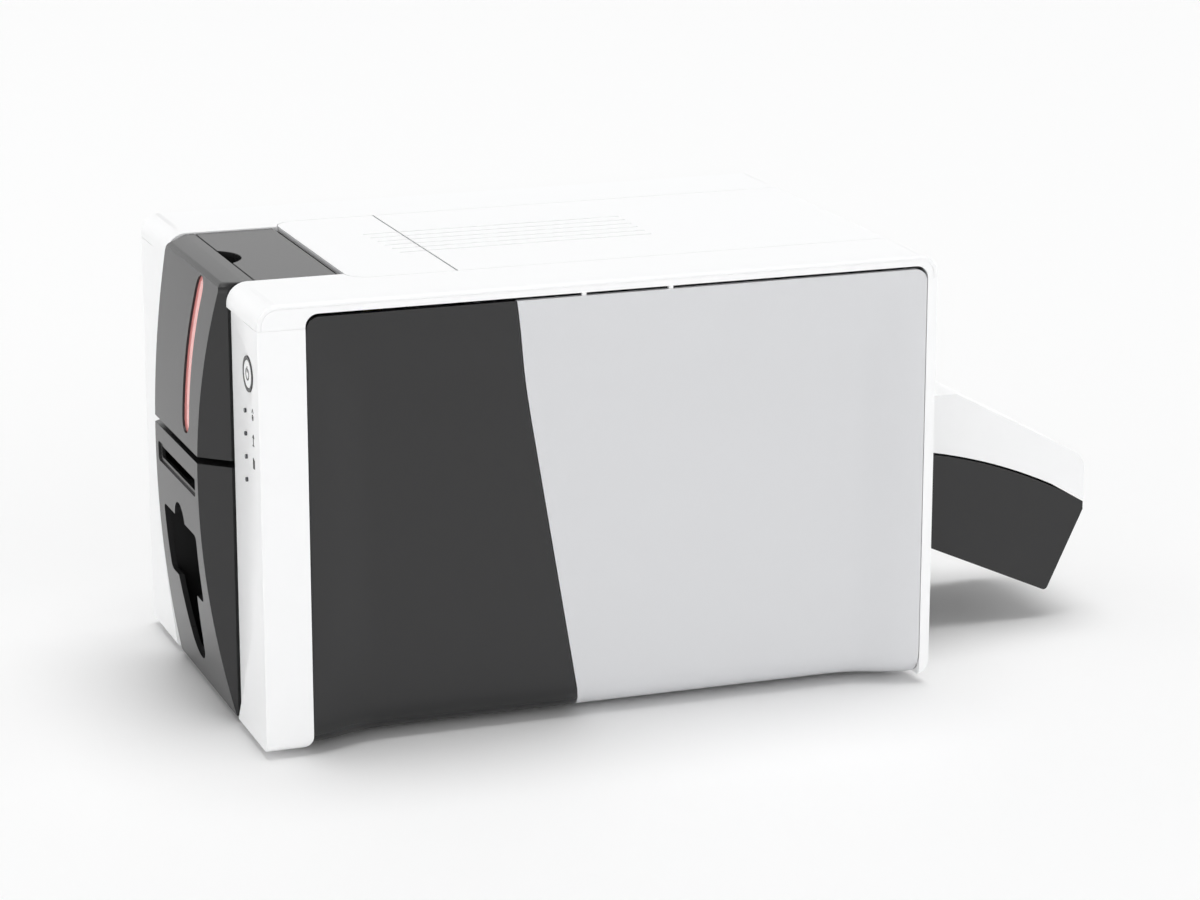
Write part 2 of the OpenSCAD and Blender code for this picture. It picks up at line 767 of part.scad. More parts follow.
journal_r = 4;
module cassette_frame() color("#54575c") difference() {
    union() {
        both_sides() along_x(cassette_x[0], cassette_x[1]) {
            translate(supply) circle(9);
            translate(take_up) circle(9);
            arm(supply, [guide_y[1], guide_z], 9);
            arm(take_up, [guide_y[0], guide_z], 9);
            arm([guide_y[0], guide_z], [guide_y[1], guide_z], 7);
            for (y = guide_y) translate([y, guide_z]) circle(4.5);
        }
        for (y = guide_y) rod([y, guide_z], guide_r, -cassette_x[0] - eps, cassette_x[0] + eps);
    }
    for (p = [supply, take_up]) rod(p, journal_r + slack, -50, 50);
}

module spool(at, r, reach) {
    rod(at, journal_r, -cassette_x[1] - 0.5, reach);
    rod(at, 6, -cassette_x[0] + 0.5, cassette_x[0] - 0.5);
    rod(at, r, -ribbon_w / 2, ribbon_w / 2);
    for (x = [-1, 1]) rod(at, journal_r + 3, x * (ribbon_w / 2 + 2.5) - 1, x * (ribbon_w / 2 + 2.5) + 1);
}

module supply_spool() color("#c9a227") spool(supply, supply_r, cassette_x[1] + 0.5);

gear_x = [38, 42];
module take_up_spool() color("#33343a") {
    spool(take_up, take_up_r, gear_x[0]);
    along_x(gear_x[0], gear_x[1]) translate(take_up) gear(ribbon_gear_teeth, 90);
}

film_t = 0.3;
film_bend_r = guide_r + 0.4;
function on_guide(i, a) = [guide_y[i], guide_z] + film_bend_r * [cos(a), sin(a)];
// where a line from p touches the circle round c; side is 1 or -1
function touch(c, r, p, side) =
    let (d = p - c, a = atan2(d[1], d[0]) + side * acos(r / norm(d))) c + r * [cos(a), sin(a)];
film_path = [touch(supply, supply_r + air, on_guide(1, 0), -1),
    on_guide(1, 10), on_guide(1, -18), on_guide(1, -46),
    [platen_y + 4.5, head_low - 0.1], [platen_y - 4.5, head_low - 0.1],
    on_guide(0, -118), on_guide(0, -147), on_guide(0, -176),
    touch(take_up, take_up_r + air, on_guide(0, 180), 1)];

// the same path, one film thickness further down or out
function film_under(i) =
    let (n = len(film_path) - 1, d = film_path[min(i + 1, n)] - film_path[max(i - 1, 0)])
    film_path[i] + film_t * [-d[1], d[0]] / norm(d);

// the film runs from the supply round both guides and under the print head
module ribbon_film() color("#6b4aa0") along_x(-ribbon_w / 2, ribbon_w / 2)
    polygon(concat(film_path, [for (i = [len(film_path) - 1:-1:0]) film_under(i)]));

module ribbon_motor() color(steel) difference() {
    union() {
        rod(ribbon_pinion_at, can_r, can_x[0], can_x[1]);
        rod(ribbon_pinion_at, 3, can_x[1], can_x[1] + 2);
    }
    rod(ribbon_pinion_at, 1 + slack, can_x[1] - 6, can_x[1] + 3);
}

module ribbon_pinion() color("#d8d2c0") {
    rod(ribbon_pinion_at, 1, can_x[1] - 5, gear_x[1] + 1);
    along_x(gear_x[0], gear_x[1]) translate(ribbon_pinion_at) gear(ribbon_pinion_teeth, -90 + 180 / ribbon_pinion_teeth);
}

// ---------- chassis and drive ----------

shaft_z = card_z - roller_r;
pinch_z = card_z + 0.8 + pinch_r;
pickup_r = 8;
tilt_dir = [cos(feeder_tilt), -sin(feeder_tilt)];
tilt_up = [sin(feeder_tilt), cos(feeder_tilt)];
// lower rear corner of the hopper and the surface that the cards lie on
hopper_heel = [feeder_end - 18, 13.5];
hopper_wall = 2.5;
card_bed = hopper_heel + hopper_wall * tilt_up;
function bed_z(y) = card_bed[1] + (card_bed[0] - y) * tan(feeder_tilt);
pickup_at = [frame_d - 12, bed_z(frame_d - 12)] - (pickup_r - 0.4) * tilt_up;

function drive_shafts() = [[front_feed_y, shaft_z], [platen_y, shaft_z], [rear_feed_y, shaft_z], pickup_at];
function pinch_shafts() = [[front_feed_y, pinch_z], [rear_feed_y, pinch_z], [cleaning_y, pinch_z]];
bush_r = shaft_r + 2;
motor_teeth = 14;
platen_teeth = 42;
motor_at = [platen_y, shaft_z - gear_r(motor_teeth) - gear_r(platen_teeth)];
bar_at = [[130, 160], [frame_d - 74, 160], [frame_d - 34, 120], [frame_d - 104, 40]];
bar_r = 4;
screw_r = 1.5;
floor_z = foot_h + wall;

module chassis_plate() color(steel) difference() {
    along_x(plate_x, chamber_x) difference() {
        union() {
            round_rect([post_w + 1.5 + wall, floor_z], [frame_d - 8, top_z - 15], [2, 2, 20, 30]);
            arm([hinge[0], 160], hinge, 16);
            translate(hinge) circle(arm_r);
        }
        for (c = [[frame_d - 111, 130], [102, 48], [148, 48]]) translate(c) round_rect([-19, -18], [19, 18], [8, 8, 8, 8]);
        for (p = drive_shafts()) translate(p) circle(bush_r);
        for (p = pinch_shafts()) translate(p) circle(pinch_shaft_r + slack);
        for (p = bar_at) translate(p) circle(screw_r);
        translate(hinge) circle(hinge_pin_r);
        translate(motor_at) circle(11.05);
    }
    block([plate_x - 1, 0, top_z - wall - 0.3], [chamber_x + 1, 200, top_z]);
}

module chassis_plate_right() chassis_plate();
module chassis_plate_left() mirror([1, 0, 0]) chassis_plate();

module cross_bars() color(steel) for (p = bar_at) difference() {
    rod(p, bar_r, -plate_x, plate_x);
    both_sides() rod(p, screw_r, plate_x - 8, plate_x + 1);
}

module chassis_screws() color("#777b80") both_sides() for (p = bar_at) difference() {
    union() {
        rod(p, screw_r, plate_x - 7, chamber_x);
        rod(p, 3, chamber_x, chamber_x + 2);
    }
    rod(p, 1.4, chamber_x + 0.8, chamber_x + 3, $fn = 6);
}

module shaft_bushes() color("#b98b3a") both_sides() for (p = drive_shafts()) difference() {
    union() {
        rod(p, bush_r, plate_x, chamber_x);
        rod(p, bush_r + 1.5, plate_x - 1, plate_x);
    }
    rod(p, shaft_r + slack, plate_x - 2, chamber_x + 1);
}

pulley_x = [-chamber_x - 7, -chamber_x - 2];
pickup_pulley_x = [-chamber_x - 14, -chamber_x - 9];

module pulley(at, x) {
    rod(at, pulley_r, x[0], x[1]);
    for (e = [x[0] - 0.8, x[1] + 0.05]) rod(at, pulley_r + 1.8, e, e + 0.75);
}

module drive_roller(at, r, x0, x1) {
    rod(at, shaft_r, x0, x1);
    rod(at, r, -roller_w / 2, roller_w / 2);
}

module platen_roller() color(rubber) {
    at = drive_shafts()[1];
    drive_roller(at, roller_r, pulley_x[0] - 1, chamber_x + 7);
    pulley(at, pulley_x);
    along_x(chamber_x + 2, chamber_x + 6) translate(at) gear(platen_teeth, -90);
}

module front_feed_roller() color(rubber) {
    at = drive_shafts()[0];
    drive_roller(at, roller_r, pulley_x[0] - 1, chamber_x + 1);
    pulley(at, pulley_x);
}

module rear_feed_roller() color(rubber) {
    at = drive_shafts()[2];
    drive_roller(at, roller_r, pickup_pulley_x[0] - 1, chamber_x + 1);
    pulley(at, pulley_x);
    pulley(at, pickup_pulley_x);
}

module pickup_roller() color(rubber) {
    at = drive_shafts()[3];
    rod(at, shaft_r, pickup_pulley_x[0] - 1, chamber_x + 1);
    rod(at, pickup_r, -15, 15);
    pulley(at, pickup_pulley_x);
}

module pinch_roller(i, r, w) {
    rod(pinch_shafts()[i], pinch_shaft_r, -chamber_x - 1, chamber_x + 1);
    rod(pinch_shafts()[i], r, -w / 2, w / 2);
}

module front_pinch_roller() color("#8d9094") pinch_roller(0, pinch_r, 40);
module rear_pinch_roller() color("#8d9094") pinch_roller(1, pinch_r, 40);
module cleaning_roller() color("#5f86c4") pinch_roller(2, pinch_r, roller_w);

belt_t = 1.2;
module drive_belt() color("#222222")
    along_x(pulley_x[0] + 0.4, pulley_x[1] - 0.4)
        belt(drive_shafts()[0], drive_shafts()[2], pulley_r + 0.1, belt_t);

module pickup_belt() color("#222222")
    along_x(pickup_pulley_x[0] + 0.4, pickup_pulley_x[1] - 0.4)
        belt(drive_shafts()[2], drive_shafts()[3], pulley_r + 0.1, belt_t);

motor_half = 21;
motor_len = 30;
module drive_motor() color("#3c3d40") difference() {
    union() {
        along_x(plate_x - motor_len, plate_x) translate(motor_at - [1, 1] * motor_half)
            round_rect([0, 0], [1, 1] * 2 * motor_half, [4, 4, 4, 4]);
        rod(motor_at, 11, plate_x, chamber_x);
    }
    rod(motor_at, 2.5 + slack, plate_x - 10, chamber_x + 1);
}

module motor_pinion() color("#c9a86a") {
    rod(motor_at, 2.5, plate_x - 9, chamber_x + 7);
    along_x(chamber_x + 2, chamber_x + 6) translate(motor_at) gear(motor_teeth, 90 + 180 / motor_teeth);
}

track_x = 30.5;
track_t = 1.6;
track_top = card_z - 0.2;
bend_y = card_bed[0] - (track_top - card_bed[1]) / tan(feeder_tilt);
track_end = frame_d - 21;

// floor under the cards, from the front slot back to the feeder
module card_track() color("#6a6c70") {
    low = track_top - track_t;
    for (s = [[front_feed_y + 8.5, platen_y - 8.5], [platen_y + 8.5, rear_feed_y - 8.5], [rear_feed_y + 8.5, bend_y]])
        block([-track_x, s[0], low], [track_x, s[1], track_top]);
    along_x(-track_x, track_x) polygon([[bend_y - eps, track_top], [track_end, bed_z(track_end) - 0.1],
        [track_end, bed_z(track_end) - track_t - 0.2], [bend_y - eps, low]]);
    both_sides() block([track_x - 1.5, front_feed_y - 6, low], [track_x, bend_y - 20, track_top + 1]);
    both_sides() for (y = [90, 140, bend_y - 18]) block([track_x - eps, y, low], [plate_x, y + 6, track_top]);
}

// ---------- rear ----------

mouth_x = feeder_x - hopper_wall;
feeder_hinge = [feeder_y + 7, feeder_top - 6.5];
barrel_r = 6.5;
feeder_pin_r = 2;
ear_t = 3;
usb_at = [-30, 20];
inlet_at = [24, 20];

module rear_panel() color(dark) difference() {
    union() {
        block([-lid_x, frame_d - wall, foot_h + 0.5], [lid_x, frame_d, lid_back_z - seam]);
        both_sides() along_x(feeder_x + air, feeder_x + air + ear_t) {
            translate(feeder_hinge) circle(5);
            translate([frame_d - wall, feeder_hinge[1] - 5]) square([feeder_hinge[0] - frame_d + wall, 10]);
        }
    }
    block([-mouth_x, frame_d - wall - 1, bed_z(frame_d) - 1], [mouth_x, frame_d + 0.5, feeder_top - 22]);
    both_sides() rod(feeder_hinge, feeder_pin_r, feeder_x, feeder_x + ear_t + 1);
    // sockets and the slot for a cable lock
    along_y(frame_d - wall - 1, frame_d + 1) {
        translate(usb_at) square([12.4, 11.6], center = true);
        translate(inlet_at) square([14.4, 11.6], center = true);
        translate([52, 30]) round_rect([-3.5, -1.5], [3.5, 1.5], [1.4, 1.4, 1.4, 1.4]);
    }
    // air slots
    for (i = [0:6]) along_y(frame_d - wall - 1, frame_d + 1) translate([-58 + 2.4 * i, 60])
        round_rect([-0.6, 0], [0.6, 30], [0.5, 0.5, 0.5, 0.5]);
}

hopper_tail = [feeder_end, 51.5];
heel_r = 2;
cover_gap = 0.9;                  // between the feeder's cover and the hopper

// what the rounding takes off the hopper's lower rear edge
module heel_edge() {
    u = -tilt_dir;
    v = (hopper_tail - hopper_heel) / norm(hopper_tail - hopper_heel);
    centre = hopper_heel + heel_r * (u + v);
    foot_u = hopper_heel + heel_r * (1 + u * v) * u;
    foot_v = hopper_heel + heel_r * (1 + u * v) * v;
    difference() {
        polygon([centre, foot_u, foot_u - v, hopper_heel - u - v, foot_v - u, foot_v]);
        translate(centre) circle(heel_r * sqrt(1 - (u * v) * (u * v)) + eps);
    }
}

// side view of the hopper, set in by inset
module hopper_side(inset) {
    heel = hopper_heel + inset * (tilt_up - tilt_dir);
    back_y = feeder_end - inset;
    front_y = inset > 0 ? feeder_y - 5 : feeder_y;
    polygon([[front_y, heel[1] + (heel[0] - front_y) * tan(feeder_tilt)], heel,
        [back_y, hopper_tail[1]], [back_y, 120], [front_y, 120]]);
}

module feeder_hopper() color(dark) difference() {
    along_x(-feeder_x, feeder_x) difference() {
        intersection() {
            hopper_side(0);
            translate(feeder_rim) circle(feeder_rim_r, $fn = 200);
        }
        heel_edge();
    }
    difference() {
        along_x(-mouth_x, mouth_x) hopper_side(hopper_wall);
        // ribs that keep the cards in line
        both_sides() for (y = [20, 55, 85]) block([28.3, feeder_y + y, 0], [mouth_x + 1, feeder_y + y + 2, 200]);
    }
}

cover_t = 2;
cover_level = 43;                  // length of the level part of its top
cover_slope = 28.1;                // fall of the part behind that
cover_tail = [4.6, 38.5];          // the rounded tail: its length and its drop from the top
cover_toe = [91.5, 90];            // lower corners of the sides at the wall

// side view of the cover, set in by inset
module feeder_cover_side(inset) difference() {
    top = feeder_top - inset;
    bend_y = frame_d + cover_level - inset * tan(cover_slope / 2);
    tail_y = feeder_end - cover_tail[0];
    start = inset > 0 ? [feeder_hinge[0], feeder_hinge[0]] : [feeder_y + 0.5, feeder_hinge[0]];
    polygon([[start[0], top], [bend_y, top], [tail_y, top - (tail_y - bend_y) * tan(cover_slope)],
        [feeder_end - inset, feeder_top - cover_tail[1] - inset / 3], [feeder_end - inset, 40],
        [start[1], 40], [start[1], cover_toe[1]], [start[0], cover_toe[0]]]);
    translate(feeder_rim) circle(feeder_rim_r + cover_gap - inset, $fn = 200);
    if (inset == 0) difference() {
        translate([feeder_y - 1, feeder_hinge[1]]) square([feeder_hinge[0] - feeder_y + 1, barrel_r + 1]);
        translate(feeder_hinge) circle(barrel_r);
    }
}

module feeder_cover() color(white) difference() {
    along_x(-feeder_x, feeder_x) feeder_cover_side(0);
    along_x(-feeder_x + cover_t, feeder_x - cover_t) difference() {
        union() {
            feeder_cover_side(cover_t);
            translate([feeder_y - 1, 0]) square([feeder_hinge[0] - feeder_y + 2, feeder_hinge[1]]);
        }
        translate(feeder_hinge) circle(barrel_r - 1);
    }
    rod(feeder_hinge, feeder_pin_r + slack, -feeder_x - 1, feeder_x + 1);
}

module feeder_pin() color(steel) rod(feeder_hinge, feeder_pin_r, -feeder_x - air - ear_t, feeder_x + air + ear_t);

board_t = 1.6;
board_x = chamber_x + 9;
board_back = 178;                 // from the rear wall's outside to the board's front edge
module mainboard() color("#2f6b47") translate([0, frame_d - board_back, 0]) {
    room = half_w - dish_depth - wall - board_x - board_t - 1;
    difference() {
        block([board_x, 0, 22], [board_x + board_t, 158, 150]);
        for (y = [5, 153], z = [27, 145]) rod([y, z], 1.6, board_x - 1, board_x + 3);
    }
    // components: place along and up the board, size, height
    for (c = [[14, 40, 18, 4], [49, 60, 24, 3], [89, 90, 14, 5], [24, 110, 12, 6], [114, 40, 20, 7], [124, 110, 10, 8]])
        block([board_x + board_t - eps, c[0], c[1]], [board_x + board_t + min(c[3], room), c[0] + c[2], c[1] + c[2]]);
    // spacers to the side plate
    for (y = [9, 149], z = [33, 139]) rod([y, z], 3, chamber_x, board_x + eps);
}

module interface_board() color("#2f6b47") block([-56, frame_d - wall - 34, 12.6], [50, frame_d - wall - 0.4, 12.6 + board_t]);

// a socket shell round an open mouth
module socket(at, w, h, depth, bore_w, bore_h) difference() {
    block([at[0] - w / 2, frame_d - depth, 14.2], [at[0] + w / 2, frame_d - 0.2, at[1] + h / 2]);
    block([at[0] - bore_w / 2, frame_d - depth + 2, at[1] - bore_h / 2], [at[0] + bore_w / 2, frame_d + 1, at[1] + bore_h / 2]);
}

module usb_socket() color(steel) {
    socket(usb_at, 12, 11, 17, 9, 8.2);
    block([usb_at[0] - 2.7, frame_d - 16, usb_at[1] + 0.6], [usb_at[0] + 2.7, frame_d - 4, usb_at[1] + 3.2]);
}

module dc_inlet() color(rubber) {
    difference() {
        block([inlet_at[0] - 7, frame_d - 15, 14.2], [inlet_at[0] + 7, frame_d - 0.2, inlet_at[1] + 5.5]);
        translate([inlet_at[0], frame_d + 1, inlet_at[1]]) rotate([90, 0, 0]) cylinder(r = 4.2, h = 13);
    }
    translate([inlet_at[0], frame_d - 2, inlet_at[1]]) rotate([90, 0, 0]) cylinder(r = 1, h = 10.5);
}

// ---------- front controls ----------

button_travel = 0.8;
button_back = wall + 2;
module power_button() color("#c6c8cb") translate([button_at[0], 0, button_at[1]]) rotate([-90, 0, 0]) {
    difference() {
        translate([0, 0, -0.4]) cylinder(r = button_r, h = button_back - 0.5);
        translate([0, 0, -1]) cylinder(r = button_r - 1.6, h = 1);
    }
    translate([0, 0, wall + 0.2]) cylinder(r = button_r + 1.4, h = 1.2);
}

module status_lights() color("#9fd0ff") for (z = light_z)
    translate([light_x, 8.6, z]) rotate([90, 0, 0]) cylinder(r = light_r, h = 8.7);

board_y = 9;
control_x = [frame_x + 6.8, half_w - wall - 1];
control_z = [light_z[3] - 6.6, button_at[1] + 12.4];
module control_board() color("#2f6b47") {
    block([control_x[0], board_y, control_z[0]], [control_x[1], board_y + board_t, control_z[1]]);
    block([button_at[0] - 3, button_back + button_travel + 0.3, button_at[1] - 3],
        [button_at[0] + 3, board_y + eps, button_at[1] + 3]);
    for (x = [control_x[0] + 2, control_x[1] - 5], z = [control_z[0] + 1, control_z[1] - 5])
        block([x, wall, z], [x + 4, board_y + eps, z + 4]);
}

// ---------- assembly ----------

stand() base_tray();
stand() feet();
stand() side_frame_right();
stand() side_frame_left();
stand() side_panel_front_right();
stand() side_panel_rear_right();
stand() side_panel_front_left();
stand() side_panel_rear_left();
stand() lower_front_panel();
stand() output_bin();
stand() rear_lid();
stand() rear_panel();
stand() front_cap();
stand() light_strip();
stand() top_plate();
stand() front_lid();
stand() cover_chassis();
stand() hinge_pins();
stand() print_head();
stand() head_heatsink();
stand() head_springs();
stand() cassette_frame();
stand() supply_spool();
stand() take_up_spool();
stand() ribbon_film();
stand() ribbon_motor();
stand() ribbon_pinion();
stand() chassis_plate_right();
stand() chassis_plate_left();
stand() cross_bars();
stand() chassis_screws();
stand() shaft_bushes();
stand() card_track();
stand() platen_roller();
stand() front_feed_roller();
stand() rear_feed_roller();
stand() front_pinch_roller();
stand() rear_pinch_roller();
stand() cleaning_roller();
stand() pickup_roller();
stand() drive_belt();
stand() pickup_belt();
stand() drive_motor();
stand() motor_pinion();
stand() feeder_hopper();
stand() feeder_cover();
stand() feeder_pin();
stand() mainboard();
stand() interface_board();
stand() usb_socket();
stand() dc_inlet();
stand() power_button();
stand() status_lights();
stand() control_board();
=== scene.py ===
import math

import bpy
import bmesh
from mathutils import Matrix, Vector


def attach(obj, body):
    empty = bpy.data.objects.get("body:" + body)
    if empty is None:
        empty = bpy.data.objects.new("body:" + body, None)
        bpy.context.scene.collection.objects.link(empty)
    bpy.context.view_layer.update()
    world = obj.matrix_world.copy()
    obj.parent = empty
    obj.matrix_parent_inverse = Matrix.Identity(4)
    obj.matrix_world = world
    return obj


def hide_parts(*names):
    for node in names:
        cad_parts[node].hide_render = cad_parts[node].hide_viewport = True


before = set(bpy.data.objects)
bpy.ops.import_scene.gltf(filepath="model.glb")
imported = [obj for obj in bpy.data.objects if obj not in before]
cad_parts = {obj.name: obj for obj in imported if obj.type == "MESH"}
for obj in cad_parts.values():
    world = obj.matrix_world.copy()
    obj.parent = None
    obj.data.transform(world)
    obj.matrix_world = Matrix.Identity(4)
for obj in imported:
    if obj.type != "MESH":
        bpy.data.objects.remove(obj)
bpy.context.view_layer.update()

view = {
    "azimuth": 70,            # degrees, seen from the front right
    "elevation": 15,
    "place": (1.51279, -0.56648, 0.52371),
    "lens": 110,
    "sensor": 36,
}


def degrees(a):
    return math.radians(a)


def clearSelection():
    if bpy.context.mode != "OBJECT":
        bpy.ops.object.mode_set(mode="OBJECT")
    bpy.ops.object.select_all(action="DESELECT")


clearSelection()

# camera
bpy.ops.object.camera_add(location=view["place"])
camera = bpy.context.object
camera.name = "camera"
az, el = degrees(view["azimuth"]), degrees(view["elevation"])
back = Vector((math.sin(az) * math.cos(el), -math.cos(az) * math.cos(el), math.sin(el)))
camera.rotation_euler = (-back).to_track_quat("-Z", "Y").to_euler()
camera.data.lens = view["lens"]
camera.data.sensor_width = view["sensor"]
camera.data.sensor_fit = "HORIZONTAL"
camera.data.clip_start = 0.01
bpy.context.scene.camera = camera
print("camera placed")


def makeGroup(name, inputs, outputs):
    group = bpy.data.node_groups.new(name, "ShaderNodeTree")
    for label, kind, value in inputs:
        socket = group.interface.new_socket(name=label, in_out="INPUT", socket_type=kind)
        if value is not None:
            socket.default_value = value
    for label, kind in outputs:
        group.interface.new_socket(name=label, in_out="OUTPUT", socket_type=kind)
    return group, group.nodes.new("NodeGroupInput"), group.nodes.new("NodeGroupOutput")


def link(tree, a, b):
    tree.links.new(a, b)


def mouldedGroup():
    # fine spark grain, slow flow shading and light dust of a moulded part
    group, ins, outs = makeGroup(
        "mouldedSkin",
        [("Colour", "NodeSocketColor", (0.8, 0.8, 0.8, 1)), ("Grain size", "NodeSocketFloat", 2600),
         ("Mottle", "NodeSocketFloat", 0.05), ("Gloss", "NodeSocketFloat", 0.4),
         ("Gloss spread", "NodeSocketFloat", 0.06)],
        [("Colour", "NodeSocketColor"), ("Roughness", "NodeSocketFloat"), ("Height", "NodeSocketFloat")])
    n = group.nodes
    where = n.new("ShaderNodeTexCoord")
    grain = n.new("ShaderNodeTexNoise")
    grain.inputs["Detail"].default_value = 2
    link(group, where.outputs["Object"], grain.inputs["Vector"])
    link(group, ins.outputs["Grain size"], grain.inputs["Scale"])
    link(group, grain.outputs["Fac"], outs.inputs["Height"])
    slow = n.new("ShaderNodeTexNoise")
    slow.inputs["Scale"].default_value = 11
    slow.inputs["Detail"].default_value = 4
    link(group, where.outputs["Object"], slow.inputs["Vector"])
    centred = n.new("ShaderNodeMath")
    centred.operation = "SUBTRACT"
    centred.inputs[1].default_value = 0.5
    link(group, slow.outputs["Fac"], centred.inputs[0])
    tone = n.new("ShaderNodeMath")
    tone.operation = "MULTIPLY_ADD"
    tone.inputs[2].default_value = 1
    link(group, centred.outputs[0], tone.inputs[0])
    link(group, ins.outputs["Mottle"], tone.inputs[1])
    shade = n.new("ShaderNodeVectorMath")
    shade.operation = "SCALE"
    link(group, ins.outputs["Colour"], shade.inputs[0])
    link(group, tone.outputs[0], shade.inputs["Scale"])
    link(group, shade.outputs[0], outs.inputs["Colour"])
    rough = n.new("ShaderNodeMath")
    rough.operation = "MULTIPLY_ADD"
    link(group, centred.outputs[0], rough.inputs[0])
    link(group, ins.outputs["Gloss spread"], rough.inputs[1])
    link(group, ins.outputs["Gloss"], rough.inputs[2])
    link(group, rough.outputs[0], outs.inputs["Roughness"])
    return group


def turnedGroup():
    # fine lines along one axis, as turning or brushing leaves them
    group, ins, outs = makeGroup(
        "toolLines",
        [("Stretch", "NodeSocketVector", (40, 900, 900)),
         ("Colour", "NodeSocketColor", (0.7, 0.7, 0.7, 1)),
         ("Gloss", "NodeSocketFloat", 0.3)],
        [("Colour", "NodeSocketColor"), ("Roughness", "NodeSocketFloat"), ("Height", "NodeSocketFloat")])
    n = group.nodes
    where = n.new("ShaderNodeTexCoord")
    scaled = n.new("ShaderNodeVectorMath")
    scaled.operation = "MULTIPLY"
    link(group, where.outputs["Object"], scaled.inputs[0])
    link(group, ins.outputs["Stretch"], scaled.inputs[1])
    lines = n.new("ShaderNodeTexNoise")
    lines.inputs["Scale"].default_value = 1
    lines.inputs["Detail"].default_value = 3
    link(group, scaled.outputs[0], lines.inputs["Vector"])
    link(group, lines.outputs["Fac"], outs.inputs["Height"])
    tone = n.new("ShaderNodeMath")
    tone.operation = "MULTIPLY_ADD"
    tone.inputs[1].default_value = 0.25
    tone.inputs[2].default_value = 0.87
    link(group, lines.outputs["Fac"], tone.inputs[0])
    shade = n.new("ShaderNodeVectorMath")
    shade.operation = "SCALE"
    link(group, ins.outputs["Colour"], shade.inputs[0])
    link(group, tone.outputs[0], shade.inputs["Scale"])
    link(group, shade.outputs[0], outs.inputs["Colour"])
    rough = n.new("ShaderNodeMath")
    rough.operation = "MULTIPLY_ADD"
    rough.inputs[1].default_value = 0.2
    link(group, lines.outputs["Fac"], rough.inputs[0])
    link(group, ins.outputs["Gloss"], rough.inputs[2])
    link(group, rough.outputs[0], outs.inputs["Roughness"])
    return group


skin = mouldedGroup()
toolLines = turnedGroup()
bumpHeight = {"grain": 0.0004, "lines": 0.0003}      # metres


def newMaterial(name):
    made = bpy.data.materials.new(name)
    made.use_nodes = True
    return made, made.node_tree, made.node_tree.nodes["Principled BSDF"]


def moulded(name, colour, gloss=0.42, grain=0.02, mottle=0.05, spread=0.06, size=2600, **shader):
    made, tree, surface = newMaterial(name)
    skinNode = tree.nodes.new("ShaderNodeGroup")
    skinNode.node_tree = skin
    skinNode.inputs["Colour"].default_value = (*colour, 1)
    skinNode.inputs["Grain size"].default_value = size
    skinNode.inputs["Mottle"].default_value = mottle
    skinNode.inputs["Gloss"].default_value = gloss
    skinNode.inputs["Gloss spread"].default_value = spread
    bump = tree.nodes.new("ShaderNodeBump")
    bump.inputs["Strength"].default_value = grain
    bump.inputs["Distance"].default_value = bumpHeight["grain"]
    link(tree, skinNode.outputs["Height"], bump.inputs["Height"])
    link(tree, bump.outputs["Normal"], surface.inputs["Normal"])
    link(tree, skinNode.outputs["Colour"], surface.inputs["Base Color"])
    link(tree, skinNode.outputs["Roughness"], surface.inputs["Roughness"])
    for socket, value in shader.items():
        surface.inputs[socket.replace("_", " ")].default_value = value
    return made


def metal(name, colour, gloss=0.25, stretch=(40, 900, 900), lines=0.05):
    made, tree, surface = newMaterial(name)
    surface.inputs["Metallic"].default_value = 1
    lined = tree.nodes.new("ShaderNodeGroup")
    lined.node_tree = toolLines
    lined.inputs["Stretch"].default_value = stretch
    lined.inputs["Colour"].default_value = (*colour, 1)
    lined.inputs["Gloss"].default_value = gloss
    bump = tree.nodes.new("ShaderNodeBump")
    bump.inputs["Strength"].default_value = lines
    bump.inputs["Distance"].default_value = bumpHeight["lines"]
    link(tree, lined.outputs["Height"], bump.inputs["Height"])
    link(tree, bump.outputs["Normal"], surface.inputs["Normal"])
    link(tree, lined.outputs["Colour"], surface.inputs["Base Color"])
    link(tree, lined.outputs["Roughness"], surface.inputs["Roughness"])
    return made


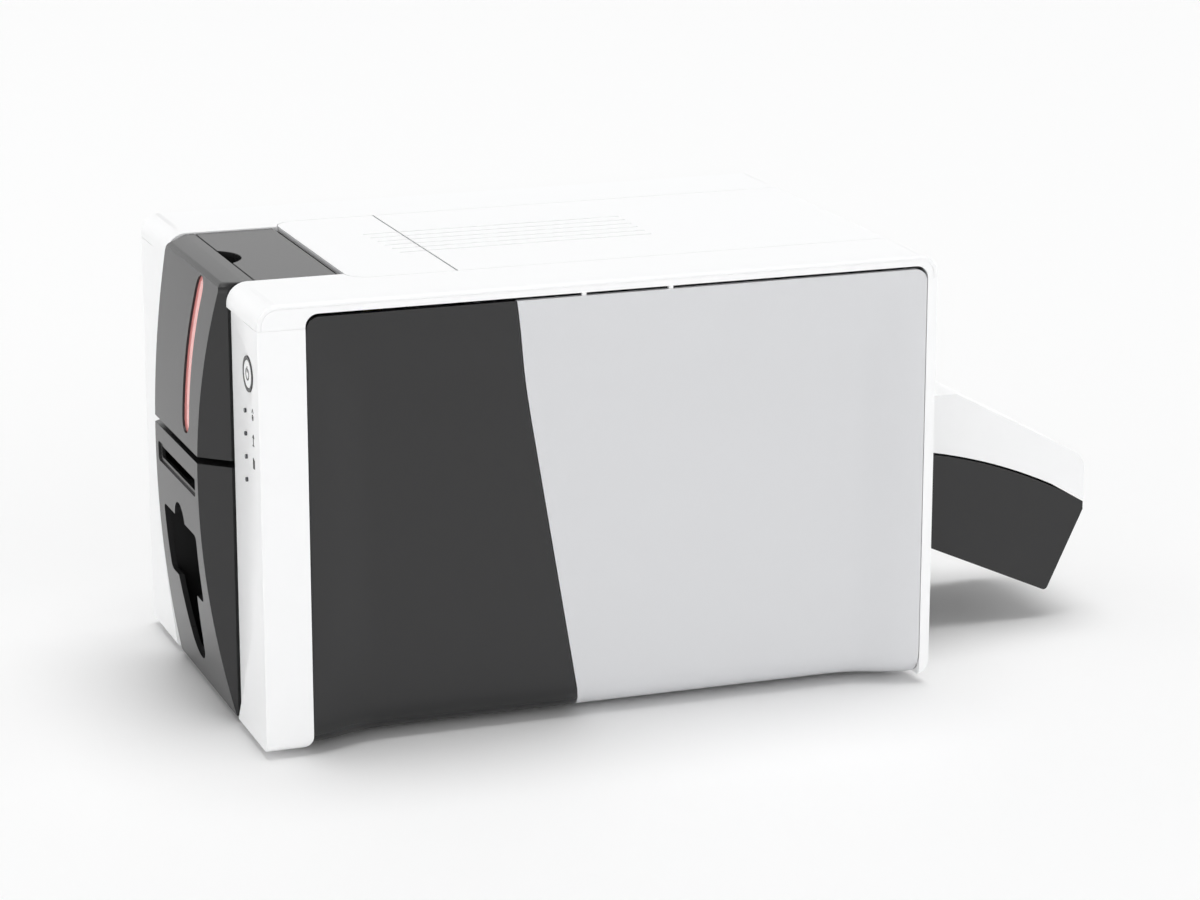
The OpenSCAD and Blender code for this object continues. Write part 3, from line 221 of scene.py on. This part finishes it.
finishes = {
    "white_plastic": moulded("whiteShell", (0.89, 0.893, 0.897), gloss=0.3, mottle=0.012),
    "dark_plastic": moulded("darkShell", (0.0225, 0.0225, 0.023), gloss=0.27, mottle=0.01,
                            spread=0.015, IOR=1.42),
    "grey_plastic": moulded("greyShell", (0.635, 0.64, 0.655), gloss=0.4, mottle=0.015),
    "rubber": moulded("softRubber", (0.022, 0.022, 0.024), gloss=0.7, grain=0.08),
    "light_strip": moulded("roseLens", (0.84, 0.3, 0.28), gloss=0.12, grain=0.004, mottle=0.02,
                           spread=0.02, Coat_Weight=0.5),
    "zinc_steel": metal("zincSheet", (0.6, 0.62, 0.65), gloss=0.3, stretch=(300, 300, 300)),
    "turned_steel": metal("turnedSteel", (0.68, 0.68, 0.7), gloss=0.16, stretch=(2500, 60, 60)),
    "fin_aluminium": metal("finAluminium", (0.74, 0.75, 0.77), gloss=0.28, stretch=(30, 1500, 1500)),
    "head_ceramic": moulded("headGlaze", (0.05, 0.055, 0.065), gloss=0.14),
    "cassette_plastic": moulded("cassetteGrey", (0.09, 0.094, 0.1), gloss=0.45),
    "ribbon": moulded("dyeFilm", (0.13, 0.05, 0.25), gloss=0.16, grain=0.01),
    "gear_plastic": moulded("gearAcetal", (0.7, 0.66, 0.55), gloss=0.4),
    "bronze": metal("sinteredBronze", (0.6, 0.4, 0.2), gloss=0.42, stretch=(1800, 1800, 1800), lines=0.2),
    "belt_rubber": moulded("beltRubber", (0.016, 0.016, 0.016), gloss=0.62, grain=0.1),
    "motor_black": moulded("blackEnamel", (0.03, 0.03, 0.034), gloss=0.3),
    "board_green": moulded("solderMask", (0.02, 0.12, 0.06), gloss=0.28, mottle=0.12),
    "button_grey": moulded("buttonGrey", (0.5, 0.51, 0.53), gloss=0.34),
    "light_guide": moulded("smokedLens", (0.035, 0.038, 0.045), gloss=0.14, Coat_Weight=0.4),
    "cleaning_blue": moulded("tackyBlue", (0.1, 0.22, 0.46), gloss=0.25),
    "yellow_ribbon": moulded("yellowFilm", (0.72, 0.46, 0.04), gloss=0.18),
    "track_grey": moulded("trackGrey", (0.12, 0.125, 0.13), gloss=0.42),
}
print("finishes made:", len(finishes))

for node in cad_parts.values():
    for i, slot in enumerate(node.data.materials):
        known = slot.name.split(".")[0] if slot else ""
        if known in finishes:
            node.data.materials[i] = finishes[known]
print("finishes put on the frame")

# millimetres: middle is the part's Y at the middle of the footprint
body = {"width": 205, "middle": 201.5, "foot": 3}
near = 1e-5                # metres, for places that are the same


def at(x, y, z):
    # part millimetres to scene metres
    return Vector((x, y - body["middle"], z)) / 1000


def toEdit(piece):
    clearSelection()
    bpy.context.view_layer.objects.active = piece
    piece.select_set(True)
    bpy.ops.object.mode_set(mode="EDIT")
    bpy.ops.mesh.select_mode(type="VERT")
    bpy.ops.mesh.select_all(action="DESELECT")


def toObject():
    bpy.ops.object.mode_set(mode="OBJECT")


def pick(piece, kind, test):
    # select the vertices, edges or faces of the piece that pass the test
    mesh = bmesh.from_edit_mesh(piece.data)
    bpy.ops.mesh.select_mode(type={"verts": "VERT", "edges": "EDGE", "faces": "FACE"}[kind])
    bpy.ops.mesh.select_all(action="DESELECT")
    mesh = bmesh.from_edit_mesh(piece.data)
    found = 0
    for part in getattr(mesh, kind):
        if test(part):
            part.select_set(True)
            found += 1
    mesh.select_flush_mode()
    bmesh.update_edit_mesh(piece.data)
    return found


def keepPlace(piece):
    clearSelection()
    bpy.context.view_layer.objects.active = piece
    piece.select_set(True)
    bpy.ops.object.transform_apply(location=True, rotation=True, scale=True)


def applyAll(piece):
    clearSelection()
    bpy.context.view_layer.objects.active = piece
    piece.select_set(True)
    for modifier in list(piece.modifiers):
        bpy.ops.object.modifier_apply(modifier=modifier.name)


def paint(piece, slot):
    piece.data.materials.clear()
    piece.data.materials.append(finishes[slot])


def smooth(piece, angle=30):
    # round faces shade round, and flat ones keep their own normals
    clearSelection()
    bpy.context.view_layer.objects.active = piece
    piece.select_set(True)
    bpy.ops.object.shade_smooth_by_angle(angle=degrees(angle))
    flats = piece.modifiers.new("flats", "WEIGHTED_NORMAL")
    flats.mode = "FACE_AREA_WITH_ANGLE"
    flats.weight = 100
    flats.keep_sharp = True
    applyAll(piece)


def addBox(name, low, high):
    # block between two corners given in part millimetres
    lo, hi = at(*low), at(*high)
    bpy.ops.mesh.primitive_cube_add(size=1, location=(lo + hi) / 2)
    piece = bpy.context.object
    piece.name = piece.data.name = name
    piece.scale = hi - lo
    keepPlace(piece)
    return piece


def duplicate(piece, name):
    made = piece.copy()
    made.data = piece.data.copy()
    made.name = made.data.name = name
    bpy.context.collection.objects.link(made)
    return made


def mirrored(piece, name):
    made = duplicate(piece, name)
    made.scale = (-1, 1, 1)
    keepPlace(made)
    toEdit(made)
    bpy.ops.mesh.select_all(action="SELECT")
    bpy.ops.mesh.normals_make_consistent(inside=False)
    toObject()
    return made


def cutWith(piece, cutter, operation, solver="EXACT"):
    modifier = piece.modifiers.new("cut", "BOOLEAN")
    modifier.operation = operation
    modifier.solver = solver
    modifier.object = cutter
    clearSelection()
    bpy.context.view_layer.objects.active = piece
    piece.select_set(True)
    bpy.ops.object.modifier_apply(modifier=modifier.name)


def joined(pieces, name):
    clearSelection()
    for piece in pieces:
        piece.select_set(True)
    bpy.context.view_layer.objects.active = pieces[0]
    bpy.ops.object.join()
    pieces[0].name = pieces[0].data.name = name
    return pieces[0]


def remove(*pieces):
    for piece in pieces:
        bpy.data.objects.remove(piece)


def softEdges(piece, width, angle=40, segments=3):
    modifier = piece.modifiers.new("softEdges", "BEVEL")
    modifier.width = width / 1000
    modifier.segments = segments
    modifier.limit_method = "ANGLE"
    modifier.angle_limit = degrees(angle)
    modifier.use_clamp_overlap = True
    modifier.miter_outer = "MITER_ARC"
    applyAll(piece)


cleaning = {"merge": 2e-6, "flat": 0.4, "roundSegments": 6}      # metres, degrees, count


def softCopy(node, name, width=0.5, angle=40, segments=3, rounding=None):
    # the moulded part with its edges broken; rounding is a test for wider edges and their width
    made = duplicate(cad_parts[node], name)
    made.parent = None
    toEdit(made)
    bpy.ops.mesh.select_all(action="SELECT")
    bpy.ops.mesh.remove_doubles(threshold=cleaning["merge"])
    bpy.ops.mesh.dissolve_limited(angle_limit=degrees(cleaning["flat"]))
    if rounding:
        test, wide = rounding
        pick(made, "edges", test)
        bpy.ops.mesh.bevel(offset=wide / 1000, segments=cleaning["roundSegments"], affect="EDGES")
    toObject()
    softEdges(made, width, angle, segments)
    smooth(made)
    return made


# side panels: a dished sheet that wraps under the body
sidePanel = {
    "front": 20.9, "rear": 299.1, "top": 189, "skirt": 12, "wall": 2.5, "dish": 8.5,
    "sideSteps": ((2, 0), (9, 0.13), (17, 0.5), (25, 0.87), (33, 1)),     # distance in, share of the dish
    "topSteps": ((3, 0.02), (13, 0.2), (24, 0.55), (35, 0.87), (48, 1)),
    "levels": (40, 80, 120), "stations": (90, 145, 200, 245),            # further loops across the middle
    "seamTop": 111.5, "seamFoot": 142.5, "gap": 0.4, "corner": 5.5,
    "turnIn": 9, "wrapSteps": 7,
    "cutFrom": 60, "cutTo": 110, "cutBelow": 1,                            # reach of the cutters
}


def dishedSheet(d):
    half = body["width"] / 2
    low = body["foot"] + d["skirt"]
    middle = at(half, (d["front"] + d["rear"]) / 2, (low + d["top"]) / 2)
    bpy.ops.mesh.primitive_plane_add(size=1, location=middle, rotation=(0, math.pi / 2, 0))
    sheet = bpy.context.object
    sheet.scale = ((d["top"] - low) / 1000, (d["rear"] - d["front"]) / 1000, 1)
    keepPlace(sheet)
    toEdit(sheet)
    # loops that carry the slopes
    for t, _ in d["sideSteps"]:
        for y in (d["front"] + t, d["rear"] - t):
            bpy.ops.mesh.select_all(action="SELECT")
            bpy.ops.mesh.bisect(plane_co=at(0, y, 0), plane_no=(0, 1, 0))
    for t, _ in d["topSteps"]:
        bpy.ops.mesh.select_all(action="SELECT")
        bpy.ops.mesh.bisect(plane_co=at(0, 0, d["top"] - t), plane_no=(0, 0, 1))
    for z in d["levels"]:
        bpy.ops.mesh.select_all(action="SELECT")
        bpy.ops.mesh.bisect(plane_co=at(0, 0, z), plane_no=(0, 0, 1))
    for y in d["stations"]:
        bpy.ops.mesh.select_all(action="SELECT")
        bpy.ops.mesh.bisect(plane_co=at(0, y, 0), plane_no=(0, 1, 0))

    def share(steps, t):
        best = 0
        for d0, part in steps:
            if t > d0 - 0.1:
                best = part
        return best

    # each ring of loops goes in by its share of the dish
    shares = sorted(set(part for _, part in d["sideSteps"] + d["topSteps"]))
    for part in shares[1:]:
        def inRing(v, part=part):
            y, z = v.co.y * 1000 + body["middle"], v.co.z * 1000
            t = min(y - d["front"], d["rear"] - y)
            own = min(share(d["sideSteps"], t), share(d["topSteps"], d["top"] - z))
            return abs(own - part) < 1e-4
        if pick(sheet, "verts", inRing):
            bpy.ops.transform.translate(value=(-part * d["dish"] / 1000, 0, 0))
    # hold the outline while the slopes are smoothed
    pick(sheet, "edges", lambda e: len(e.link_faces) == 1)
    bpy.ops.transform.edge_crease(value=1)
    toObject()
    smoother = sheet.modifiers.new("smoother", "SUBSURF")
    smoother.levels = smoother.render_levels = 3
    smoother.boundary_smooth = "PRESERVE_CORNERS"
    applyAll(sheet)
    # the lower edge rolls under
    toEdit(sheet)
    lowZ = low / 1000

    def lowerRim(edge):
        return len(edge.link_faces) == 1 and all(abs(v.co.z - lowZ) < near for v in edge.verts)

    pick(sheet, "edges", lowerRim)
    for i in range(d["wrapSteps"]):
        a, b = (degrees(90 * k / d["wrapSteps"]) for k in (i, i + 1))
        inwards = d["skirt"] * (math.cos(b) - math.cos(a)) / 1000
        down = -d["skirt"] * (math.sin(b) - math.sin(a)) / 1000
        bpy.ops.mesh.extrude_edges_move(TRANSFORM_OT_translate={"value": (inwards, 0, down)})
    bpy.ops.mesh.extrude_edges_move(TRANSFORM_OT_translate={"value": (-d["turnIn"] / 1000, 0, 0)})
    bpy.ops.mesh.select_all(action="SELECT")
    bpy.ops.mesh.normals_make_consistent(inside=False)
    mesh = bmesh.from_edit_mesh(sheet.data)
    mesh.faces.ensure_lookup_table()
    if sum(f.normal.x * f.calc_area() for f in mesh.faces) < 0:
        bpy.ops.mesh.flip_normals()
    toObject()
    wall = sheet.modifiers.new("wall", "SOLIDIFY")
    wall.thickness = d["wall"] / 1000
    wall.offset = -1
    applyAll(sheet)
    return sheet


def panelCutter(d, name, rear):
    # prism with the outline of one colour of the panel
    shift = d["gap"] / 2 * (1 if rear else -1)
    y0, y1 = (d["seamTop"], d["rear"]) if rear else (d["front"], d["seamTop"])
    cutter = addBox(name, (d["cutFrom"], y0, -d["cutBelow"]), (d["cutTo"], y1, d["top"]))
    slant = (d["seamFoot"] - d["seamTop"]) / (d["top"] - body["foot"])
    lean = slant * (d["top"] + d["cutBelow"]) / 1000
    halfway = d["top"] / 2000
    toEdit(cutter)
    seamY = at(0, d["seamTop"], 0).y

    def lowCorner(v):
        return abs(v.co.y - seamY) < near and v.co.z < halfway

    def onSeam(v):
        return abs(v.co.y - seamY) < near or (v.co.z < halfway and abs(v.co.y - seamY - lean) < near)

    pick(cutter, "verts", lowCorner)
    bpy.ops.transform.translate(value=(0, lean, 0))
    pick(cutter, "verts", onSeam)
    bpy.ops.transform.translate(value=(0, shift / 1000, 0))
    outer = at(0, d["rear"] if rear else d["front"], 0).y
    pick(cutter, "edges", lambda e: all(v.co.z > halfway and abs(v.co.y - outer) < near for v in e.verts))
    bpy.ops.mesh.bevel(offset=d["corner"] / 1000, segments=8, affect="EDGES")
    toObject()
    return cutter


panelSheet = dishedSheet(sidePanel)
for rear, tone in ((False, "dark_plastic"), (True, "grey_plastic")):
    label = "rear" if rear else "front"
    cutter = panelCutter(sidePanel, "panelCutter", rear)
    panel = duplicate(panelSheet, label + "PanelRight")
    cutWith(panel, cutter, "INTERSECT")
    softEdges(panel, 0.35, angle=55, segments=2)
    smooth(panel, 40)
    for piece, side in ((panel, "right"), (mirrored(panel, label + "PanelLeft"), "left")):
        paint(piece, tone)
        smooth(piece, 40)
        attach(piece, "base")
        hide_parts("side_panel_%s_%s" % (label, side))
    remove(cutter)
remove(panelSheet)
print("side panels dished")

# clips that hold the side panels, seen in the gap below the rail
clip = {
    "places": (141.5, 180.4), "width": 2.1, "low": 188.7, "high": 190.7,
    "out": 102.2, "deep": 1.8, "edge": 0.25,
}


def panelClips(d):
    made = []
    for side in (1, -1):
        for y in d["places"]:
            x0, x1 = sorted((side * (d["out"] - d["deep"]), side * d["out"]))
            tab = addBox("tab", (x0, y - d["width"] / 2, d["low"]), (x1, y + d["width"] / 2, d["high"]))
            softEdges(tab, d["edge"], segments=2)
            made.append(tab)
    return joined(made, "panelClips")


clips = panelClips(clip)
paint(clips, "white_plastic")
smooth(clips)
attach(clips, "base")

# power button: dark ring, pale face and a ring-and-bar mark
button = {
    "x": 86.7, "z": 163.6, "faceRadius": 5.85, "faceFront": -0.3, "faceBack": 0.2, "crown": 0.25,
    "markRadius": 2.4, "markLine": 0.75, "markFront": -0.4, "gapAngle": 56, "barLow": 0.6, "barHigh": 3.3,
}


def disc(name, x, z, radius, y0, y1, sides=64):
    # flat round piece that faces forwards
    bpy.ops.mesh.primitive_cylinder_add(vertices=sides, radius=radius / 1000, depth=(y1 - y0) / 1000,
                                        location=at(x, (y0 + y1) / 2, z), rotation=(math.pi / 2, 0, 0))
    piece = bpy.context.object
    piece.name = piece.data.name = name
    keepPlace(piece)
    return piece


def arcBand(x, z, radius, line, y0, y1, gap, steps=40):
    # band of a ring with a gap at its top, spun from one small section
    start = at(x, (y0 + y1) / 2, z + radius)
    bpy.ops.mesh.primitive_plane_add(size=1, location=start, rotation=(0, math.pi / 2, 0))
    piece = bpy.context.object
    piece.scale = (line / 1000, (y1 - y0) / 1000, 1)
    keepPlace(piece)
    pivot = at(x, 0, z)
    toEdit(piece)
    bpy.ops.mesh.select_all(action="SELECT")
    bpy.ops.transform.rotate(value=degrees(gap / 2), orient_axis="Y", center_override=pivot)
    bpy.ops.mesh.spin(steps=steps, angle=degrees(360 - gap), center=pivot, axis=(0, 1, 0))
    bpy.ops.mesh.select_all(action="SELECT")
    bpy.ops.mesh.normals_make_consistent(inside=False)
    toObject()
    return piece


ring = softCopy("power_button", "buttonRing", 0.25)
paint(ring, "dark_plastic")
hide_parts("power_button")
face = disc("buttonFace", button["x"], button["z"], button["faceRadius"],
            button["faceFront"], button["faceBack"])
softEdges(face, button["crown"], segments=3)
paint(face, "white_plastic")
barHalf = button["markLine"] / 2
mark = joined([
    arcBand(button["x"], button["z"], button["markRadius"], button["markLine"], button["markFront"],
            button["faceBack"], button["gapAngle"]),
    addBox("bar", (button["x"] - barHalf, button["markFront"], button["z"] + button["barLow"]),
           (button["x"] + barHalf, button["faceBack"], button["z"] + button["barHigh"])),
], "buttonMark")
paint(mark, "dark_plastic")
for piece in (ring, face, mark):
    smooth(piece)
    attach(piece, "button")
print("power button made")

# marks beside the lights: a drop over a spot, an arrow over a card, a stack of cards
marks = {
    "x": 92.6, "heights": (147.4, 136.6, 126.6), "front": -0.06, "back": 0.12, "line": 0.45,
    # strokes from the middle of each mark: across and up, start and end
    "drop": ((-1.3, 0.9, 0, 2.6), (0, 2.6, 1.3, 0.9)),
    "spotBelow": 1.1, "spotRing": 1.1, "spotRadius": 0.45, "ringGap": 30, "steps": 24,
    "arrow": ((-1.2, 1, 0, 2.4), (0, 2.4, 1.2, 1), (0, -2.2, 0, 2.2), (-1.2, -2.2, 1.2, -2.2)),
    "cards": ((-0.95, -2.1, -0.95, 2.45), (0, -2.1, 0, 2.1), (0.95, -2.1, 0.95, 1.75)),
}


def bar(x0, z0, x1, z1, width, d):
    # straight stroke between two points of the post's face
    length = math.hypot(x1 - x0, z1 - z0)
    x, z = (x0 + x1) / 2, (z0 + z1) / 2
    stroke = addBox("stroke", (x - length / 2, d["front"], z - width / 2),
                    (x + length / 2, d["back"], z + width / 2))
    toEdit(stroke)
    bpy.ops.mesh.select_all(action="SELECT")
    slope = math.atan2(z1 - z0, x1 - x0)
    bpy.ops.transform.rotate(value=slope, orient_axis="Y", center_override=at(x, 0, z))
    toObject()
    return stroke


def strokes(kind, height, d):
    return [bar(d["x"] + x0, height + z0, d["x"] + x1, height + z1, d["line"], d)
            for x0, z0, x1, z1 in d[kind]]


def postMarks(d):
    first, second, third = d["heights"]
    spotZ = first - d["spotBelow"]
    made = strokes("drop", first, d)
    made.append(arcBand(d["x"], spotZ, d["spotRing"], d["line"], d["front"], d["back"],
                        d["ringGap"], d["steps"]))
    made.append(disc("spot", d["x"], spotZ, d["spotRadius"], d["front"], d["back"], d["steps"]))
    made += strokes("arrow", second, d)
    made += strokes("cards", third, d)
    return joined(made, "postMarks")


inkMarks = postMarks(marks)
paint(inkMarks, "dark_plastic")
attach(inkMarks, "base")
print("marks on the post made")

# the edges across the tail of the feeder cover are rounded wider; from and to are Y and Z round them
feederTail = {"from": (407.5, 72.5), "to": (415, 82), "width": 3.2, "across": 50}


def onTail(edge):
    low, high = (at(0, *feederTail[k]) for k in ("from", "to"))
    across = abs(edge.verts[0].co.x - edge.verts[1].co.x) > feederTail["across"] / 1000
    return across and all(low.y < v.co.y < high.y and low.z < v.co.z < high.z for v in edge.verts)


roundings = {"feeder_cover": (onTail, feederTail["width"])}
# moulded parts whose edges are broken: node, piece, body, slot, edge width
mouldings = [
    ("side_frame_right", "sideFrameRight", "base", "white_plastic", 0.8),
    ("side_frame_left", "sideFrameLeft", "base", "white_plastic", 0.8),
    ("front_cap", "frontCap", "cover", "dark_plastic", 0.5),
    ("lower_front_panel", "lowerFrontPanel", "base", "dark_plastic", 0.7),
    ("top_plate", "topPlate", "cover", "dark_plastic", 0.3),
    ("front_lid", "frontLid", "cover", "white_plastic", 0.35),
    ("rear_lid", "rearLid", "base", "white_plastic", 0.35),
    ("feeder_cover", "feederCover", "feeder_lid", "white_plastic", 0.6),
    ("feeder_hopper", "feederHopper", "base", "dark_plastic", 0.5),
    ("rear_panel", "rearPanel", "base", "dark_plastic", 0.3),
    ("light_strip", "lightStrip", "cover", "light_strip", 0.4),
    ("output_bin", "outputBin", "base", "dark_plastic", 0.3),
    ("base_tray", "baseTray", "base", "dark_plastic", 0.3),
    ("card_track", "cardTrack", "base", "track_grey", 0.25),
    ("chassis_plate_right", "chassisPlateRight", "base", "zinc_steel", 0.15),
    ("chassis_plate_left", "chassisPlateLeft", "base", "zinc_steel", 0.15),
    ("cover_chassis", "coverChassis", "cover", "dark_plastic", 0.3),
    ("cassette_frame", "cassetteFrame", "cover", "cassette_plastic", 0.3),
    ("print_head", "printHead", "cover", "head_ceramic", 0.3),
    ("head_heatsink", "headHeatsink", "cover", "fin_aluminium", 0.12),
]
for node, name, carrier, slot, width in mouldings:
    piece = softCopy(node, name, width, rounding=roundings.get(node))
    paint(piece, slot)
    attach(piece, carrier)
    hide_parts(node)
print("mouldings finished:", len(mouldings))

# screws of the casing, one head copied to each place
screw = {
    "radius": 2.6, "height": 1.1, "dome": 0.8, "crossLong": 2.8, "crossWide": 0.6, "crossDeep": 0.7,
    "rearY": 304, "rear": ((56.5, 106), (-56.5, 106), (56.5, 11), (-56.5, 11)),
    "footZ": 3, "under": ((48, 62), (-48, 62), (48, 262), (-48, 262)),
}


def screwHead(d):
    # stands at the origin and looks along +Z
    bpy.ops.mesh.primitive_cylinder_add(vertices=32, radius=d["radius"] / 1000, depth=d["height"] / 1000,
                                        location=(0, 0, d["height"] / 2000))
    head = bpy.context.object
    keepPlace(head)
    toEdit(head)
    pick(head, "edges", lambda e: all(v.co.z > d["height"] / 2000 for v in e.verts))
    bpy.ops.mesh.bevel(offset=d["dome"] / 1000, segments=5, affect="EDGES")
    toObject()
    for long, wide in ((d["crossLong"], d["crossWide"]), (d["crossWide"], d["crossLong"])):
        bpy.ops.mesh.primitive_cube_add(size=1, location=(0, 0, d["height"] / 1000))
        slotCutter = bpy.context.object
        slotCutter.scale = (long / 1000, wide / 1000, 2 * d["crossDeep"] / 1000)
        keepPlace(slotCutter)
        cutWith(head, slotCutter, "DIFFERENCE")
        remove(slotCutter)
    return head


def caseScrews(d):
    head = screwHead(d)
    made = []
    for x, z in d["rear"]:
        copyOf = duplicate(head, "rearScrew")
        copyOf.rotation_euler = (-math.pi / 2, 0, 0)
        copyOf.location = at(x, d["rearY"], z)
        made.append(copyOf)
    for x, y in d["under"]:
        copyOf = duplicate(head, "underScrew")
        copyOf.rotation_euler = (math.pi, 0, 0)
        copyOf.location = at(x, y, d["footZ"])
        made.append(copyOf)
    for piece in made:
        keepPlace(piece)
    remove(head)
    return joined(made, "caseScrews")


screws = caseScrews(screw)
paint(screws, "motor_black")
smooth(screws)
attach(screws, "base")
print("screws placed")

# floor and light
studio = {
    "floor": 9.0,
    "floorTone": (0.9, 0.9, 0.9),
    "floorRoughness": 0.7,
    "horizon": 1.35,                # radiance of the air near the floor
    "dome": 0.2,                    # radiance of the air overhead
    "domeHeights": (0.25, 0.75),    # sines of the heights where it starts and ends to fade
    "lean": 0.27,                   # how much brighter the air is on the right
    "overhead": {"strength": 1.85, "spread": 40, "tilt": (-4, -3)},
    "fill": {"place": (-1.3, -2.1, 0.9), "aim": (0, 0, 0.1), "size": 1.2, "power": 3},
}

bpy.ops.mesh.primitive_plane_add(size=studio["floor"], location=(0, 0, 0))
floor = bpy.context.object
floor.name = "floor"
floorPaint, tree, surface = newMaterial("palePaper")
surface.inputs["Base Color"].default_value = (*studio["floorTone"], 1)
surface.inputs["Roughness"].default_value = studio["floorRoughness"]
floor.data.materials.append(floorPaint)

world = bpy.context.scene.world or bpy.data.worlds.new("studioAir")
bpy.context.scene.world = world
world.use_nodes = True
air = world.node_tree
toSky = air.nodes.new("ShaderNodeTexCoord")
height = air.nodes.new("ShaderNodeSeparateXYZ")
link(air, toSky.outputs["Generated"], height.inputs[0])
fade = air.nodes.new("ShaderNodeMapRange")
fade.interpolation_type = "SMOOTHSTEP"
for socket, value in zip(("From Min", "From Max", "To Min", "To Max"),
                         (*studio["domeHeights"], studio["horizon"], studio["dome"])):
    fade.inputs[socket].default_value = value
link(air, height.outputs["Z"], fade.inputs["Value"])
sideways = air.nodes.new("ShaderNodeMath")
sideways.operation = "MULTIPLY_ADD"
sideways.inputs[1].default_value = studio["lean"]
sideways.inputs[2].default_value = 1
link(air, height.outputs["X"], sideways.inputs[0])
both = air.nodes.new("ShaderNodeMath")
both.operation = "MULTIPLY"
link(air, fade.outputs["Result"], both.inputs[0])
link(air, sideways.outputs[0], both.inputs[1])
link(air, both.outputs[0], air.nodes["Background"].inputs["Strength"])
air.nodes["Background"].inputs["Color"].default_value = (1, 1, 1, 1)

above = studio["overhead"]
tilt = [degrees(a) for a in (*above["tilt"], 0)]
bpy.ops.object.light_add(type="SUN", location=(0, 0, 2), rotation=tilt)
overhead = bpy.context.object
overhead.name = "overhead"
overhead.data.energy = above["strength"]
overhead.data.angle = degrees(above["spread"])
fill = studio["fill"]
bpy.ops.object.light_add(type="AREA", location=fill["place"])
fillLamp = bpy.context.object
fillLamp.name = "fill"
fillLamp.data.energy = fill["power"]
fillLamp.data.size = fill["size"]
aim = Vector(fill["aim"]) - Vector(fill["place"])
fillLamp.rotation_euler = aim.to_track_quat("-Z", "Y").to_euler()
bpy.context.scene.view_settings.view_transform = "Standard"
print("floor and light set")
